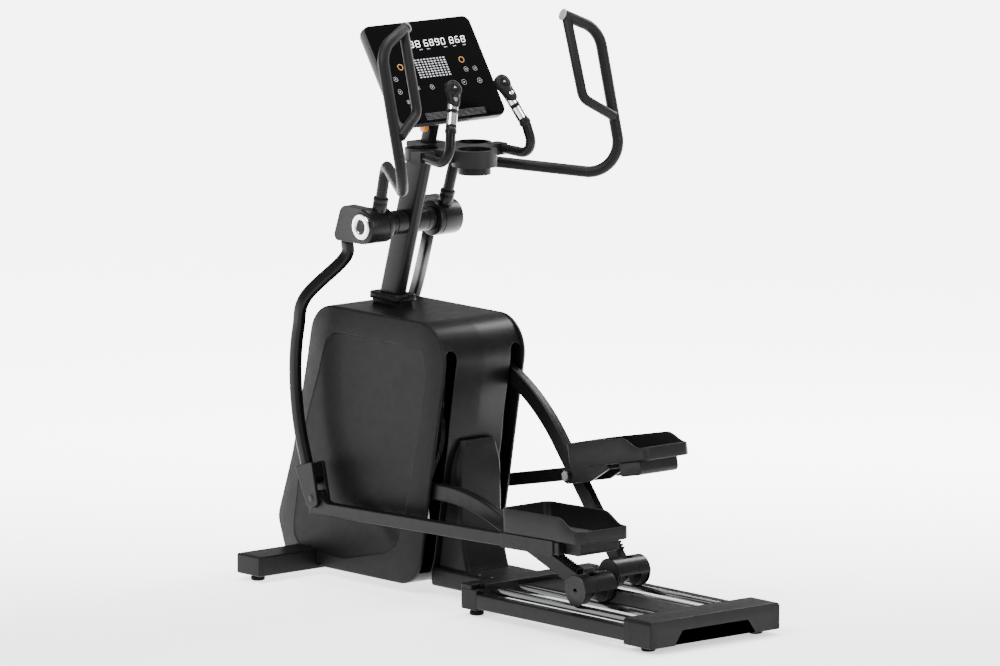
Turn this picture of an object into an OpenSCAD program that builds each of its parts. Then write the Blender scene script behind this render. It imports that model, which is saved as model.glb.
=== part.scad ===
// Elliptical trainer with a front drive, two roller arms on chromed rails,
// swing arms with handles, fixed hand bars, tray and console.
// X runs from the front to the user's end, Y to the user's right and Z up.
// The origin is on the floor, under the middle of the machine's outline.

/* [Rear track] */
// Rear face of the track's end cap, from the origin
rear_x = 922; // [900:5:960]
// Half of the track's width
track_half_w = 259; // [250:1:270]
// Top of the front block and of the end cap
track_top = 98; // [95:1:104]
// Underside of the frame above the floor
frame_low = 20; // [18:1:24]
// Radius of a rail tube
rail_r = 16; // [14:0.5:17]
// Height of a rail tube's axis
rail_z = 68; // [66:0.5:70]
// Distance of the inner rail tube from the centre line
rail_inner_y = 88; // [86:1:90]
// Distance of the outer rail tube from the centre line
rail_outer_y = 176; // [174:1:178]

/* [Front stabiliser] */
// Middle of the front cross tube
stabiliser_x = -790; // [-800:5:-780]
// Depth of the front cross tube along X
stabiliser_depth = 110; // [100:5:120]
// Height of the front cross tube
stabiliser_h = 62; // [56:1:66]
// Half of the front cross tube's length, over its end caps
stabiliser_half_w = 400; // [380:5:420]

/* [Mast] */
// Rearward lean of the mast, in degrees
mast_lean = 16.5; // [16:0.1:17]
// Depth of the mast's section
mast_depth = 96; // [90:1:100]
// Width of the mast's section
mast_width = 40; // [36:1:44]
// Height of the swing arms' shaft
pivot_z = 1118; // [1110:1:1126]
// Place of the swing arms' shaft along X
pivot_x = -500; // [-505:1:-495]

/* [Linkage] */
// Place of the crank's centre along X
crank_x = -482; // [-484:1:-480]
// Height of the crank's centre
crank_z = 482; // [480:1:484]
// Radius from the crank's centre to a crank pin
crank_r = 254; // [250:1:255]
// Angle of the right crank above +X, in degrees
crank_angle = 84.4; // [83:0.2:86]
// Length of a roller arm from its crank pin to its roller axle
roller_arm_l = 1020; // [1018:1:1022]
// Height of a roller axle
roller_z = 128; // [128:0.5:129]
// Distance of the pedal pivot along the roller arm, from the roller axle
pedal_pivot_u = 335; // [333:1:337]
// Height of the pedal pivot above the line from roller axle to crank pin
pedal_pivot_v = 91; // [89:1:93]
// Length of a link bar from its front end to the pedal pivot
bar_l = 867; // [865:1:869]
// Length of a swing arm from the shaft to its lower pivot
swing_l = 870; // [868:1:872]
// Distance of the roller arms from the centre line
roller_arm_y = 132; // [131:1:133]
// Distance of the swing arms and link bars from the centre line
link_y = 230; // [228:1:232]

/* [Pedals] */
// Inner side of a pedal, from the centre line
pedal_inner_y = 56; // [54:1:60]
// Outer side of a pedal, from the centre line
pedal_outer_y = 247; // [246:1:250]
// Pedal length
pedal_l = 370; // [364:1:376]

/* [Housing] */
// Half of the housing's width
housing_half_w = 170; // [168:1:172]
// Half of the middle cover's width
spine_half_w = 155; // [154:1:156]
// Skin thickness of the plastic covers
skin = 4; // [3:0.5:5]
// Distance of an arm slot's middle from the centre line
slot_y = 131; // [130:1:132]
// Width of an arm slot
slot_w = 46; // [44:1:48]

/* [Handles] */
// Radius of a moving handle's tube
handle_r = 17.5; // [17:0.5:18]
// Radius of a fixed bar's tube
bar_r = 15.5; // [14:0.5:16]
// Wall of the handle tubes
handle_wall = 2; // [1.5:0.5:3]

/* [Console] */
// Lean of the console's face from vertical, in degrees
console_tilt = 33.2; // [32:0.2:34]
// Console width
console_w = 424; // [410:2:430]
// Console height along its face
console_h = 342; // [330:2:350]
// Console thickness
console_t = 42; // [38:1:46]

/* [Hidden] */

$fn = 48;
LEFT = -1;
RIGHT = 1;
eps = 1;
run_fit = 0.05;
side_gap = 1.5;

black = [0.09, 0.09, 0.1];
dark_grey = [0.2, 0.2, 0.21];
chrome = [0.85, 0.86, 0.88];
steel = [0.6, 0.61, 0.63];

// Track
block_x0 = 53;
block_x1 = 126;
cap_l = 122;
cap_x0 = rear_x - cap_l;
rail_wall = 2.5;
rail_seat = 14;
side_rail_w = 34;
side_rail_top = 72;
side_rail_low = 26;
center_cover_half_w = 66;
center_cover_top = 82;
foot_h = frame_low;
foot_r = 22;

// Mast and its upper post
mast_base_z = 82;
mast_top_z = 1352;
post_depth = 46;
post_width = 34;
post_shift = 24;
post_top_z = 1462;
mast_wall = 3;

// Shaft and hubs
shaft_r = 22;
barrel_r = 37;
barrel_y0 = mast_width / 2;
barrel_y1 = 91;
hub_r = 55;
hub_y0 = 92.5;
hub_y1 = 183;
block_y0 = 144;
hub_bore_r = shaft_r + run_fit;
shaft_end_y = 186;

// Arms and links
arm_w = 30;
arm_t = 38;
link_t = 40;
tube_wall = 2.5;
pin_r = 9;
cheek_t = 11;
link_boss_r = 22;

// Roller arms
ra_t = 52;
ra_w = 30;
ra_straight = 460;
ra_rise = 118;
axle_r = 10;
wheel_r = 43;
flange_r = 43.4;
wheel_w = 22;
cover_r = 49;
cover_wall = 2.5;
cover_y0 = 66;
cover_y1 = 196;

swing_rest = 10.3;
pin_u = 29;
pin_v = 31;

// Tray, bars and console
tray_top = 1376;
tray_h = 52;
cup_x = -183;
cup_r = 52;
cup_depth = 76;
pocket_x = -307;
pocket_y = 101;
pocket_r = 47;
console_x = -368;
console_z = 1599;
glass_t = 3;

// ---- geometry helpers ----

function unit(v) = v / norm(v);
function polar(r, a) = [r * cos(a), r * sin(a)];
function mast_at(z) = pivot_x + (z - pivot_z) * tan(mast_lean);

// Corner of an outline rounded by a circle of radius r, as arc points
function corner(a, p, b, r) =
    let(u = unit(a - p), v = unit(b - p), half = acos(u * v) / 2, d = r / tan(half),
        c = p + unit(u + v) * (r / sin(half)),
        s = p + u * d - c, e = p + v * d - c,
        a0 = atan2(s[1], s[0]), sweep = atan2(s[0] * e[1] - s[1] * e[0], s * e),
        n = max(1, ceil(abs(sweep) / 9)))
    [for (i = [0:n]) c + polar(r, a0 + sweep * i / n)];

// Closed outline from [x, y, radius] corners
function rounded(pts) =
    let(n = len(pts))
    [for (i = [0:n - 1])
        let(p = pts[i], a = pts[(i + n - 1) % n], b = pts[(i + 1) % n])
        each (p[2] > 0 ? corner([a[0], a[1]], [p[0], p[1]], [b[0], b[1]], p[2]) : [[p[0], p[1]]])];

// The same corners moved inwards by d, for an outline that runs clockwise
function inset(pts, d) =
    let(n = len(pts))
    [for (i = [0:n - 1])
        let(p = [pts[i][0], pts[i][1]],
            a = [pts[(i + n - 1) % n][0], pts[(i + n - 1) % n][1]],
            b = [pts[(i + 1) % n][0], pts[(i + 1) % n][1]],
            u = unit(p - a), v = unit(b - p),
            nu = [u[1], -u[0]], nv = [v[1], -v[0]],
            k = d / (1 + nu * nv), q = p + (nu + nv) * k)
        [q[0], q[1], max(pts[i][2] - d, 1)]];

// Draws a 2D X-Z outline as a plate from y0 to y1
module plate(y0, y1) {
    translate([0, y1, 0]) rotate([90, 0, 0]) linear_extrude(y1 - y0) children();
}

// Mirrors a plate's two Y limits for the chosen side
module side_plate(side, y0, y1) {
    plate(min(side * y0, side * y1), max(side * y0, side * y1)) children();
}

// Cylinder along Y between y0 and y1
module rod_y(side, y0, y1, r) {
    translate([0, min(side * y0, side * y1), 0]) rotate([-90, 0, 0]) cylinder(h = abs(y1 - y0), r = r);
}

// Puts children at an X-Z point, turned by an angle from +X towards +Z
module at_xz(p, a = 0) {
    translate([p[0], 0, p[1]]) rotate([0, -a, 0]) children();
}

// Straight tube from point a to point b
module tube(a, b, r, wall) {
    d = b - a;
    translate(a) rotate([0, acos(d[2] / norm(d)), atan2(d[1], d[0])])
        difference() {
            cylinder(h = norm(d), r = r);
            if (wall > 0) translate([0, 0, -eps]) cylinder(h = norm(d) + 2 * eps, r = r - wall);
        }
}

// Centre points and directions along a bent tube, as [point, direction] pairs
function arc_steps(s, u, v, R) =
    let(n = unit(v - u * (u * v)), c = s + n * R, turn = acos(u * v), k = max(2, ceil(turn / 14)))
    [for (i = [1:k]) let(a = turn * i / k) [c - n * R * cos(a) + u * R * sin(a), u * cos(a) + n * sin(a)]];
function bend_path(pts, bends) =
    let(n = len(pts), dirs = [for (i = [0:n - 2]) unit(pts[i + 1] - pts[i])],
        trims = [for (i = [0:n - 1]) i == 0 || i == n - 1 ? 0
            : bends[i - 1] * tan(acos(dirs[i - 1] * dirs[i]) / 2)])
    [[pts[0], dirs[0]],
        for (i = [1:n - 2])
            let(s = pts[i] - dirs[i - 1] * trims[i])
            each concat([[s, dirs[i - 1]]], arc_steps(s, dirs[i - 1], dirs[i], bends[i - 1])),
        [pts[n - 1], dirs[n - 2]]];

// Carries a side direction along the path without twist
function carried(path, side, i = 0, out = []) =
    i == len(path) ? out
    : let(t = path[i][1], s = unit(side - t * (side * t))) carried(path, s, i + 1, concat(out, [s]));

// Round tube along a path, hollow when wall is above 0
module pipe(path, r, wall, sides = 20) {
    n = len(path);
    first = abs(path[0][1][1]) < 0.9 ? [0, 1, 0] : [1, 0, 0];
    aside = carried(path, first);
    function ring(i, q) = let(b = cross(path[i][1], aside[i]))
        [for (k = [0:sides - 1]) path[i][0] + (aside[i] * cos(360 * k / sides) + b * sin(360 * k / sides)) * q];
    m = sides;
    outer = [for (i = [0:n - 1]) each ring(i, r)];
    inner = [for (i = [0:n - 1]) each ring(i, r - wall)];
    o = n * m;
    skin_faces = [for (i = [0:n - 2], k = [0:m - 1])
        let(a = i * m + k, b = i * m + (k + 1) % m) [a, a + m, b + m, b]];
    bore_faces = [for (f = skin_faces) [f[3] + o, f[2] + o, f[1] + o, f[0] + o]];
    e = (n - 1) * m;
    if (wall > 0)
        polyhedron(concat(outer, inner), concat(skin_faces, bore_faces,
            [for (k = [0:m - 1]) let(a = k, b = (k + 1) % m) [a, b, b + o, a + o]],
            [for (k = [0:m - 1]) let(a = e + k, b = e + (k + 1) % m) [b, a, a + o, b + o]]));
    else
        polyhedron(outer, concat(skin_faces, [[for (k = [0:m - 1]) k], [for (k = [m - 1:-1:0]) e + k]]));
}

// Takes [x, |y|, z] points to one side of the machine
function on_side(side, pts) = [for (p = pts) [p[0], side * p[1], p[2]]];

// ---- linkage at rest, one set of points per side ----

link_l = norm([bar_l - pin_u, pin_v]);

function crank_dir(side) = side == RIGHT ? crank_angle : crank_angle + 180;
function crank_pin(side) = [crank_x, crank_z] + polar(crank_r, crank_dir(side));
function roller_axis(side) =
    let(p = crank_pin(side), dz = p[1] - roller_z)
    [p[0] + sqrt(pow(roller_arm_l, 2) - dz * dz), roller_z];
function arm_turn(side) =
    let(d = crank_pin(side) - roller_axis(side)) atan2(d[1], d[0]);
function pedal_pivot(side) =
    let(a = arm_turn(side))
    roller_axis(side) + polar(pedal_pivot_u, a) + polar(pedal_pivot_v, a - 90);
function lower_pivot(side) =
    let(s = [pivot_x, pivot_z], q = pedal_pivot(side), d = norm(q - s), e = (q - s) / d,
        k = (pow(swing_l, 2) - pow(link_l, 2) + d * d) / (2 * d),
        h = sqrt(pow(swing_l, 2) - k * k))
    s + e * k + h * [e[1], -e[0]];
function swing_turn(side) =
    let(d = lower_pivot(side) - [pivot_x, pivot_z]) atan2(d[1], d[0]) + 90;
function link_turn(side) =
    let(d = pedal_pivot(side) - lower_pivot(side)) atan2(d[1], d[0]);

// Swing parts are drawn about the shaft as they stand in mid stride
module on_swing(side) { at_xz([pivot_x, pivot_z], swing_turn(side) + swing_rest) children(); }
module on_link(side) {
    at_xz(lower_pivot(side), link_turn(side) + atan2(pin_v, bar_l - pin_u))
        translate([-pin_u, 0, -pin_v]) children();
}
module on_arm(side) { at_xz(roller_axis(side), arm_turn(side)) children(); }

// ---- base ----

module base_beam() {
    x0 = stabiliser_x + stabiliser_depth / 2;
    color(dark_grey) difference() {
        translate([x0, -50, 30]) cube([block_x0 - x0, 100, 48]);
        translate([x0 - eps, -50 + 3, 33]) cube([block_x0 - x0 + 2 * eps, 94, 42]);
    }
}

module deck_cover() {
    x0 = -262;
    color(black) difference() {
        translate([x0, -106, 26]) cube([block_x0 - x0, 212, 58]);
        translate([x0 - eps, -102, 26 - eps]) cube([block_x0 - x0 + 2 * eps, 204, 54]);
    }
}

module front_stabiliser() {
    l = 2 * (stabiliser_half_w - 14);
    color(dark_grey) translate([stabiliser_x, 0, frame_low + stabiliser_h / 2]) difference() {
        cube([stabiliser_depth, l, stabiliser_h], center = true);
        cube([stabiliser_depth - 6, l + 2 * eps, stabiliser_h - 6], center = true);
    }
}

module stabiliser_end_caps() {
    w = stabiliser_depth;
    h = stabiliser_h;
    color(black) for (side = [LEFT, RIGHT])
        side_plate(side, stabiliser_half_w - 14, stabiliser_half_w)
            translate([stabiliser_x - w / 2, frame_low])
                polygon(rounded([[0, 0, 0], [0, h, 8], [w, h, 8], [w, 0, 0]]));
}

module levelling_feet() {
    spots = [[stabiliser_x, 360], [stabiliser_x, -360], [rear_x - 60, 215], [rear_x - 60, -215],
        [block_x0 + 36, 225], [block_x0 + 36, -225]];
    color(black) for (p = spots) translate([p[0], p[1], 0]) {
        cylinder(h = 12, r = foot_r);
        translate([0, 0, 12]) cylinder(h = foot_h - 12, r = 9);
    }
}

// ---- track ----

module rail_holes(x, l) {
    for (y = [rail_inner_y, rail_outer_y], side = [LEFT, RIGHT])
        translate([x, side * y, rail_z]) rotate([0, 90, 0]) cylinder(h = l, r = rail_r);
}

module track_front_block() {
    color(black) difference() {
        translate([block_x0, -track_half_w, frame_low])
            cube([block_x1 - block_x0, 2 * track_half_w, track_top - frame_low]);
        rail_holes(block_x1 - rail_seat, rail_seat + eps);
        translate([block_x0 + 10, -track_half_w + 12, frame_low - eps])
            cube([block_x1 - block_x0 - 10 - rail_seat - 8, 2 * track_half_w - 24, 30]);
        for (side = [LEFT, RIGHT]) translate([block_x1 - 24, side * (track_half_w - 20) - 20 - eps, 84])
            cube([24 + eps, 40 + 2 * eps, track_top - 84 + eps]);
    }
}

module track_side_rails() {
    color(black) for (side = [LEFT, RIGHT])
        translate([block_x1, side > 0 ? track_half_w - side_rail_w : -track_half_w, side_rail_low])
            difference() {
                cube([cap_x0 - block_x1, side_rail_w, side_rail_top - side_rail_low]);
                translate([-eps, 3, 3])
                    cube([cap_x0 - block_x1 + 2 * eps, side_rail_w - 6, side_rail_top - side_rail_low - 6]);
            }
}

module rear_end_cap() {
    wall = 5;
    notch_low = 160;
    notch_high = 130;
    notch_h = 42;
    color(black) difference() {
        translate([cap_x0, -track_half_w - 1, frame_low - 4])
            cube([cap_l, 2 * track_half_w + 2, track_top - frame_low + 4]);
        translate([cap_x0 + 30, 0, frame_low - 4 - eps]) rotate([90, 0, 90])
            linear_extrude(cap_l)
                polygon([[-notch_low, 0], [-notch_high, notch_h], [notch_high, notch_h], [notch_low, 0]]);
        rail_holes(cap_x0 - eps, rail_seat + eps);
        translate([cap_x0 + rail_seat + wall, -track_half_w + wall, 0]) difference() {
            cube([cap_l - rail_seat - 2 * wall, 2 * (track_half_w - wall), track_top - wall]);
            translate([-eps, track_half_w - wall - notch_high - 4, 0]) cube([cap_l, 2 * notch_high + 8, 200]);
            for (side = [LEFT, RIGHT]) translate([cap_l - 60 - rail_seat - wall, track_half_w - wall + side * 215, frame_low])
                cylinder(h = 200, r = foot_r + 2);
        }
    }
}

module track_center_cover() {
    w = center_cover_half_w;
    color(black) difference() {
        translate([block_x1, -w, 54]) cube([cap_x0 - block_x1, 2 * w, center_cover_top - 54]);
        translate([block_x1 - eps, -w + 4, 54 - eps])
            cube([cap_x0 - block_x1 + 2 * eps, 2 * w - 8, center_cover_top - 58 + eps]);
    }
}

module rail_tubes() {
    x0 = block_x1 - rail_seat;
    x1 = cap_x0 + rail_seat;
    color(chrome) for (y = [rail_inner_y, rail_outer_y], side = [LEFT, RIGHT])
        tube([x0, side * y, rail_z], [x1, side * y, rail_z], rail_r, rail_wall);
}

// ---- mast ----

// Leaning box tube with a closed top: section depth by width, between two heights, shifted along X
module leaning_tube(z0, z1, depth, width, shift, wall) {
    function side(z0, z1, half) = [[mast_at(z0) + shift - half, z0], [mast_at(z1) + shift - half, z1],
        [mast_at(z1) + shift + half, z1], [mast_at(z0) + shift + half, z0]];
    difference() {
        plate(-width / 2, width / 2) polygon(side(z0, z1, depth / 2));
        plate(-width / 2 + wall, width / 2 - wall) polygon(side(z0 - eps, z1 - wall, depth / 2 - wall));
    }
}

module mast() {
    color(black) difference() {
        union() {
            leaning_tube(mast_base_z, mast_top_z, mast_depth, mast_width, 0, mast_wall);
            at_xz([pivot_x, pivot_z]) rod_y(RIGHT, -mast_width / 2, mast_width / 2, shaft_r + 6);
        }
        at_xz([pivot_x, pivot_z]) rod_y(RIGHT, -mast_width, mast_width, shaft_r);
    }
    color(black) leaning_tube(mast_top_z - 1, post_top_z, post_depth, post_width, post_shift, mast_wall);
}

module mast_collar() {
    z = 862;
    l = 152;
    w = 84;
    color(dark_grey) translate([mast_at(z) + 6, 0, z]) difference() {
        translate([0, 0, 7]) linear_extrude(20)
            polygon(rounded([[-l / 2, -w / 2, 24], [-l / 2, w / 2, 24], [l / 2, w / 2, 24], [l / 2, -w / 2, 24]]));
        translate([-6, 0, 0]) cube([mast_depth + 20, mast_width + 2, 80], center = true);
    }
}

module pivot_shaft() {
    color(steel) at_xz([pivot_x, pivot_z]) rod_y(RIGHT, -hub_y1, hub_y1, shaft_r);
    color(black) at_xz([pivot_x, pivot_z]) for (side = [LEFT, RIGHT]) difference() {
        rod_y(side, barrel_y0, barrel_y1, barrel_r);
        rod_y(side, barrel_y0 - eps, barrel_y1 + eps, shaft_r);
    }
}

module shaft_end_caps() {
    ring_r = 40;
    button_r = 20;
    color(chrome) at_xz([pivot_x, pivot_z]) for (side = [LEFT, RIGHT]) {
        difference() {
            rod_y(side, hub_y1 + 0.5, hub_y1 + 6, ring_r);
            rod_y(side, hub_y1, hub_y1 + 7, button_r);
        }
        rod_y(side, hub_y1, hub_y1 + 4, button_r - 0.5);
    }
}

// ---- swing arms ----

module hub(side) {
    pts = on_side(side, handle_path);
    seat = pts[0];
    d = unit(pts[1] - pts[0]);
    color(black) on_swing(side) difference() {
        union() {
            rod_y(side, hub_y0, hub_y1, hub_r);
            side_plate(side, block_y0, hub_y1) polygon(rounded([[-132, -36, 8], [-98, 58, 10], [-40, 55, 0],
                [0, 55, 0], [0, -55, 0], [-126, -55, 8]]));
            tube(seat - d * 30, seat + d * 18, handle_r + 6, 0);
        }
        rod_y(side, hub_y0 - eps, hub_y1 + eps, hub_bore_r);
        tube(seat, seat + d * 20, handle_r, 0);
    }
}

// Box tube along a path, with level rectangles at the path's points
module box_pipe(pts, depth, width, wall) {
    n = len(pts);
    function ring(p, d, w) = [for (c = [[-1, -1], [1, -1], [1, 1], [-1, 1]]) p + [c[0] * d / 2, c[1] * w / 2, 0]];
    outer = [for (p = pts) each ring(p, depth, width)];
    inner = [for (p = pts) each ring(p, depth - 2 * wall, width - 2 * wall)];
    o = 4 * n;
    e = 4 * (n - 1);
    skins = [for (i = [0:n - 2], k = [0:3]) let(a = 4 * i + k, b = 4 * i + (k + 1) % 4) [a, a + 4, b + 4, b]];
    bores = [for (f = skins) [f[3] + o, f[2] + o, f[1] + o, f[0] + o]];
    polyhedron(concat(outer, inner), concat([for (f = concat(skins, bores)) [f[3], f[2], f[1], f[0]]],
        [for (k = [0:3]) let(b = (k + 1) % 4) [k + o, b + o, b, k]],
        [for (k = [0:3]) let(b = (k + 1) % 4) [e + b + o, e + k + o, e + k, e + b]]));
}

// Centre line of a lower arm about the shaft, from the hub block to the lower pivot
arm_path = [[-90, 165, -55], [-104, 165, -112], [-212, link_y, -237], [-247, link_y, -335],
    [-262, link_y, -434], [-260, link_y, -541], [-243, link_y, -647], [-215, link_y, -740],
    [-186, link_y, -822]];

module lower_arm(side) {
    pts = on_side(side, arm_path);
    color(black) on_swing(side) box_pipe(pts, arm_t, arm_w, tube_wall);
}

// Centre line of a moving handle about the shaft
handle_path = [[30, 133, 72], [62, 137, 194], [508, 436, 170], [385, 428, 607], [357, 306, 661]];
handle_bends = [45, 92, 85];
inner_path = [[361, 318, 650], [434, 327, 410], [470, 424, 350]];

module handle(side) {
    color(black) on_swing(side) {
        union() {
            pipe(bend_path(on_side(side, handle_path), handle_bends), handle_r, handle_wall);
            pipe(bend_path(on_side(side, inner_path), [40]), handle_r - 2, 0);
        }
    }
}

module grip_cap(side) {
    n = len(handle_path);
    pts = on_side(side, handle_path);
    d = unit(pts[n - 1] - pts[n - 2]);
    color(steel) on_swing(side) tube(pts[n - 1], pts[n - 1] + d * 4, handle_r + 1, 0);
}

module lower_pivot(side) {
    inner = link_y - arm_w / 2 - cheek_t - side_gap;
    outer = link_y + arm_w / 2 + side_gap;
    low = polar(swing_l, -90 - swing_rest);
    color(dark_grey) on_swing(side) translate([low[0], 0, low[1]]) {
        for (y = [inner, outer]) difference() {
            side_plate(side, y, y + cheek_t)
                polygon(rounded([[-81, 90, 8], [0, 114, 8], [30, -14, 14], [4, -32, 14], [-21, -27, 12]]));
            rod_y(side, y - eps, y + cheek_t + eps, pin_r);
        }
        for (y = [inner + cheek_t, link_y + arm_w / 2])
            side_plate(side, y, y + side_gap) translate([-62, 50]) square([34, 46]);
        rod_y(side, inner, outer + cheek_t, pin_r);
    }
}

// ---- link bars and pedals ----

pedal_x0 = bar_l + 42;
deck_v = 22;
lug_inner_y = 88;
lug_outer_y = 166;
lug_t = 10;
stub_gap = 3;

module link_bar(side) {
    y0 = link_y - arm_w / 2;
    y1 = link_y + arm_w / 2;
    color(black) on_link(side) {
        difference() {
            union() {
                side_plate(side, y0, y1) polygon(rounded([[0, -link_t / 2, 6], [0, link_t / 2, 6],
                    [pin_u - 4, pin_v + 8, 6], [pin_u + 14, pin_v + 8, 12], [pin_u + 60, link_t / 2, 30],
                    [pedal_x0 + 262, link_t / 2, 0], [pedal_x0 + 262, -link_t / 2, 0]]));
                translate([pin_u, 0, pin_v]) rod_y(side, y0, y1, link_boss_r);
                for (y = [lug_inner_y, lug_outer_y]) side_plate(side, y, y + lug_t)
                    polygon(rounded([[bar_l - 26, -26, 25], [bar_l - 26, 22, 20], [pedal_x0 + 150, 22, 0],
                        [pedal_x0 + 150, 6, 10], [bar_l + 100, -26, 20]]));
                translate([pedal_x0 + 96, side > 0 ? lug_inner_y : -y0 - eps, 6])
                    cube([54, y0 + eps - lug_inner_y, 14]);
                for (y = [[lug_inner_y - 4, roller_arm_y - ra_w / 2 - stub_gap],
                    [roller_arm_y + ra_w / 2 + stub_gap, lug_outer_y + 1]])
                    translate([bar_l, 0, 0]) rod_y(side, y[0], y[1], 12);
            }
            side_plate(side, y0 + tube_wall, y1 - tube_wall)
                translate([pin_u + 40, -link_t / 2 + tube_wall])
                    square([pedal_x0 + 200, link_t - 2 * tube_wall]);
            translate([pin_u, 0, pin_v]) rod_y(side, y0 - eps, y1 + eps, pin_r + run_fit);
        }
    }
}

// Side outline of a pedal tray: high front wall that steps down to a low rear rim
function tray_side(low, top, rear) = [[0, low], [0, top], [280, top + 1], [334, top - 36],
    [pedal_l, top - 38], [pedal_l, low + 14], [pedal_l - 20, low + 12]];

module pedal_tray(side) {
    floor_v = 30;
    top_v = 98;
    low_v = deck_v;
    color(black) on_link(side) translate([pedal_x0, 0, 0]) difference() {
        side_plate(side, pedal_inner_y, pedal_outer_y) polygon(tray_side(low_v, top_v, 0));
        side_plate(side, pedal_inner_y + skin + 1, pedal_outer_y - skin - 1)
            polygon([[skin + 1, floor_v], [skin + 1, top_v + 20], [pedal_l - 5, top_v + 20],
                [pedal_l - 5, floor_v + 14], [pedal_l - 30, floor_v + 10]]);
        translate([pedal_l, side * (pedal_outer_y), 0]) rotate([0, 0, 45])
            cube([34, 34, 400], center = true);
    }
}

module pedal_base(side) {
    x1 = 300;
    color(dark_grey) on_link(side) translate([pedal_x0, 0, 0]) {
        side_plate(side, link_y + arm_w / 2 + 0.2, link_y + arm_w / 2 + 4.2)
            polygon([[0, -link_t / 2 - 3], [0, deck_v - 0.2], [x1 - 60, deck_v - 0.2], [x1 - 60, -link_t / 2 - 3]]);
        difference() {
            side_plate(side, pedal_inner_y + 6, link_y - arm_w / 2 - 0.3)
                polygon([[x1 - 66, -link_t / 2], [x1 - 66, deck_v - 0.2], [x1 + 30, deck_v - 0.2], [x1 + 30, -link_t / 2]]);
            side_plate(side, pedal_inner_y + 10, link_y - arm_w / 2 - 4)
                polygon([[x1 - 70, -link_t / 2 - 5], [x1 - 70, deck_v - 4], [x1 + 26, deck_v - 4], [x1 + 26, -link_t / 2 - 5]]);
        }
    }
}

// ---- roller arms ----

// Side outline of a roller arm: a straight run from the roller, then an arc down to the crank pin
function arm_outline() =
    let(rise = atan2(ra_rise, ra_straight), mid = [ra_straight, ra_rise], chord = [roller_arm_l, 0] - mid,
        half = rise - atan2(chord[1], chord[0]), bend = norm(chord) / 2 / sin(half),
        c = mid + bend * [sin(rise), -cos(rise)], steps = 12, h = ra_t / 2, n = [-sin(rise), cos(rise)])
    concat([n * h], [for (i = [0:steps]) c + polar(bend + h, 90 + rise - 2 * half * i / steps)],
        [for (i = [steps:-1:0]) c + polar(bend - h, 90 + rise - 2 * half * i / steps)], [-n * h]);

module roller_arm(side) {
    y0 = roller_arm_y - ra_w / 2;
    y1 = roller_arm_y + ra_w / 2;
    // The arm's own frame points from roller to crank, so its upper side is -Z after the turn
    color(black) on_arm(side) mirror([0, 0, 1]) difference() {
        union() {
            side_plate(side, y0, y1) polygon(arm_outline());
            rod_y(side, y0, y1, ra_t / 2 + 4);
            translate([roller_arm_l, 0, 0]) rod_y(side, y0, y1, ra_t / 2 + 8);
        }
        rod_y(side, y0 - eps, y1 + eps, axle_r + run_fit);
        translate([roller_arm_l, 0, 0]) rod_y(side, y0 - eps, y1 + eps, 16);
    }
}

module roller_carriage(side) {
    color(steel) at_xz(roller_axis(side)) rod_y(side, cover_y0, cover_y1, axle_r);
    color(black) at_xz(roller_axis(side)) difference() {
        union() {
            rod_y(side, cover_y1 - 4, cover_y1, cover_r - 3);
            rod_y(side, cover_y0, cover_y0 + 4, cover_r - 3);
            difference() {
                rod_y(side, cover_y0, cover_y1, cover_r);
                rod_y(side, cover_y0 - eps, cover_y1 + eps, cover_r - cover_wall);
                side_plate(side, cover_y0 - eps, cover_y1 + eps) translate([-100, -200]) square([200, 200]);
            }
        }
        rod_y(side, cover_y0 - eps, cover_y1 + eps, axle_r);
        side_plate(side, roller_arm_y - ra_w / 2 - 2, roller_arm_y + ra_w / 2 + 2)
            translate([-100, -2]) square([138, 200]);
    }
}

module roller_wheels(side) {
    half = wheel_w / 2;
    color(dark_grey) for (y = [rail_inner_y, rail_outer_y])
        translate([roller_axis(side)[0], side * y, roller_z]) rotate([90, 0, 0])
            rotate_extrude() polygon([[axle_r + run_fit, -half], [flange_r, -half], [flange_r, -half + 2],
                [wheel_r, -4], [wheel_r, 4], [flange_r, half - 2], [flange_r, half], [axle_r + run_fit, half]]);
}

// ---- housing ----

// Side outline of the housing, clockwise from the lower front, as [x, z, radius]
outline = [[-884, 28, 60], [-931, 160, 60], [-858, 372, 300], [-790, 660, 300], [-750, 852, 105],
    [-112, 850, 112], [-262, 28, 100]];

module spine_slots() {
    low = 70;
    high = 770;
    for (side = [LEFT, RIGHT]) translate([-300, side * slot_y, 0]) {
        translate([0, -slot_w / 2, low]) cube([260, slot_w, high - low - slot_w / 2]);
        translate([0, 0, high - slot_w / 2]) rotate([0, 90, 0]) cylinder(h = 260, r = slot_w / 2);
    }
}

module housing_spine() {
    color(black) difference() {
        plate(-spine_half_w, spine_half_w) polygon(rounded(outline));
        plate(-spine_half_w - eps, spine_half_w + eps) polygon(rounded(inset(outline, skin)));
        spine_slots();
        translate([mast_at(862), 0, 862]) cube([150, mast_width + 6, 60], center = true);
        translate([-902, -62, 0]) cube([900, 124, 80]);
        translate([-262.2, -106.2, 0]) cube([300, 212.4, 84.2]);
        translate([-894, 0, 108]) cube([60, 30.4, 26.4], center = true);
        translate([stabiliser_x - 70, -spine_half_w - eps, 0]) cube([140, 2 * spine_half_w + 2 * eps, 86]);
    }
}

module housing_side(side) {
    recess = 2.5;
    color(black) difference() {
        side_plate(side, spine_half_w + 0.2, housing_half_w) polygon(rounded(outline));
        side_plate(side, spine_half_w, housing_half_w - recess - skin)
            polygon(rounded(inset(outline, skin)));
        side_plate(side, housing_half_w - recess, housing_half_w + eps)
            polygon(rounded(inset(outline, 34)));
        translate([stabiliser_x - 57, -200, 0]) cube([114, 400, 84]);
    }
}

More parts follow.
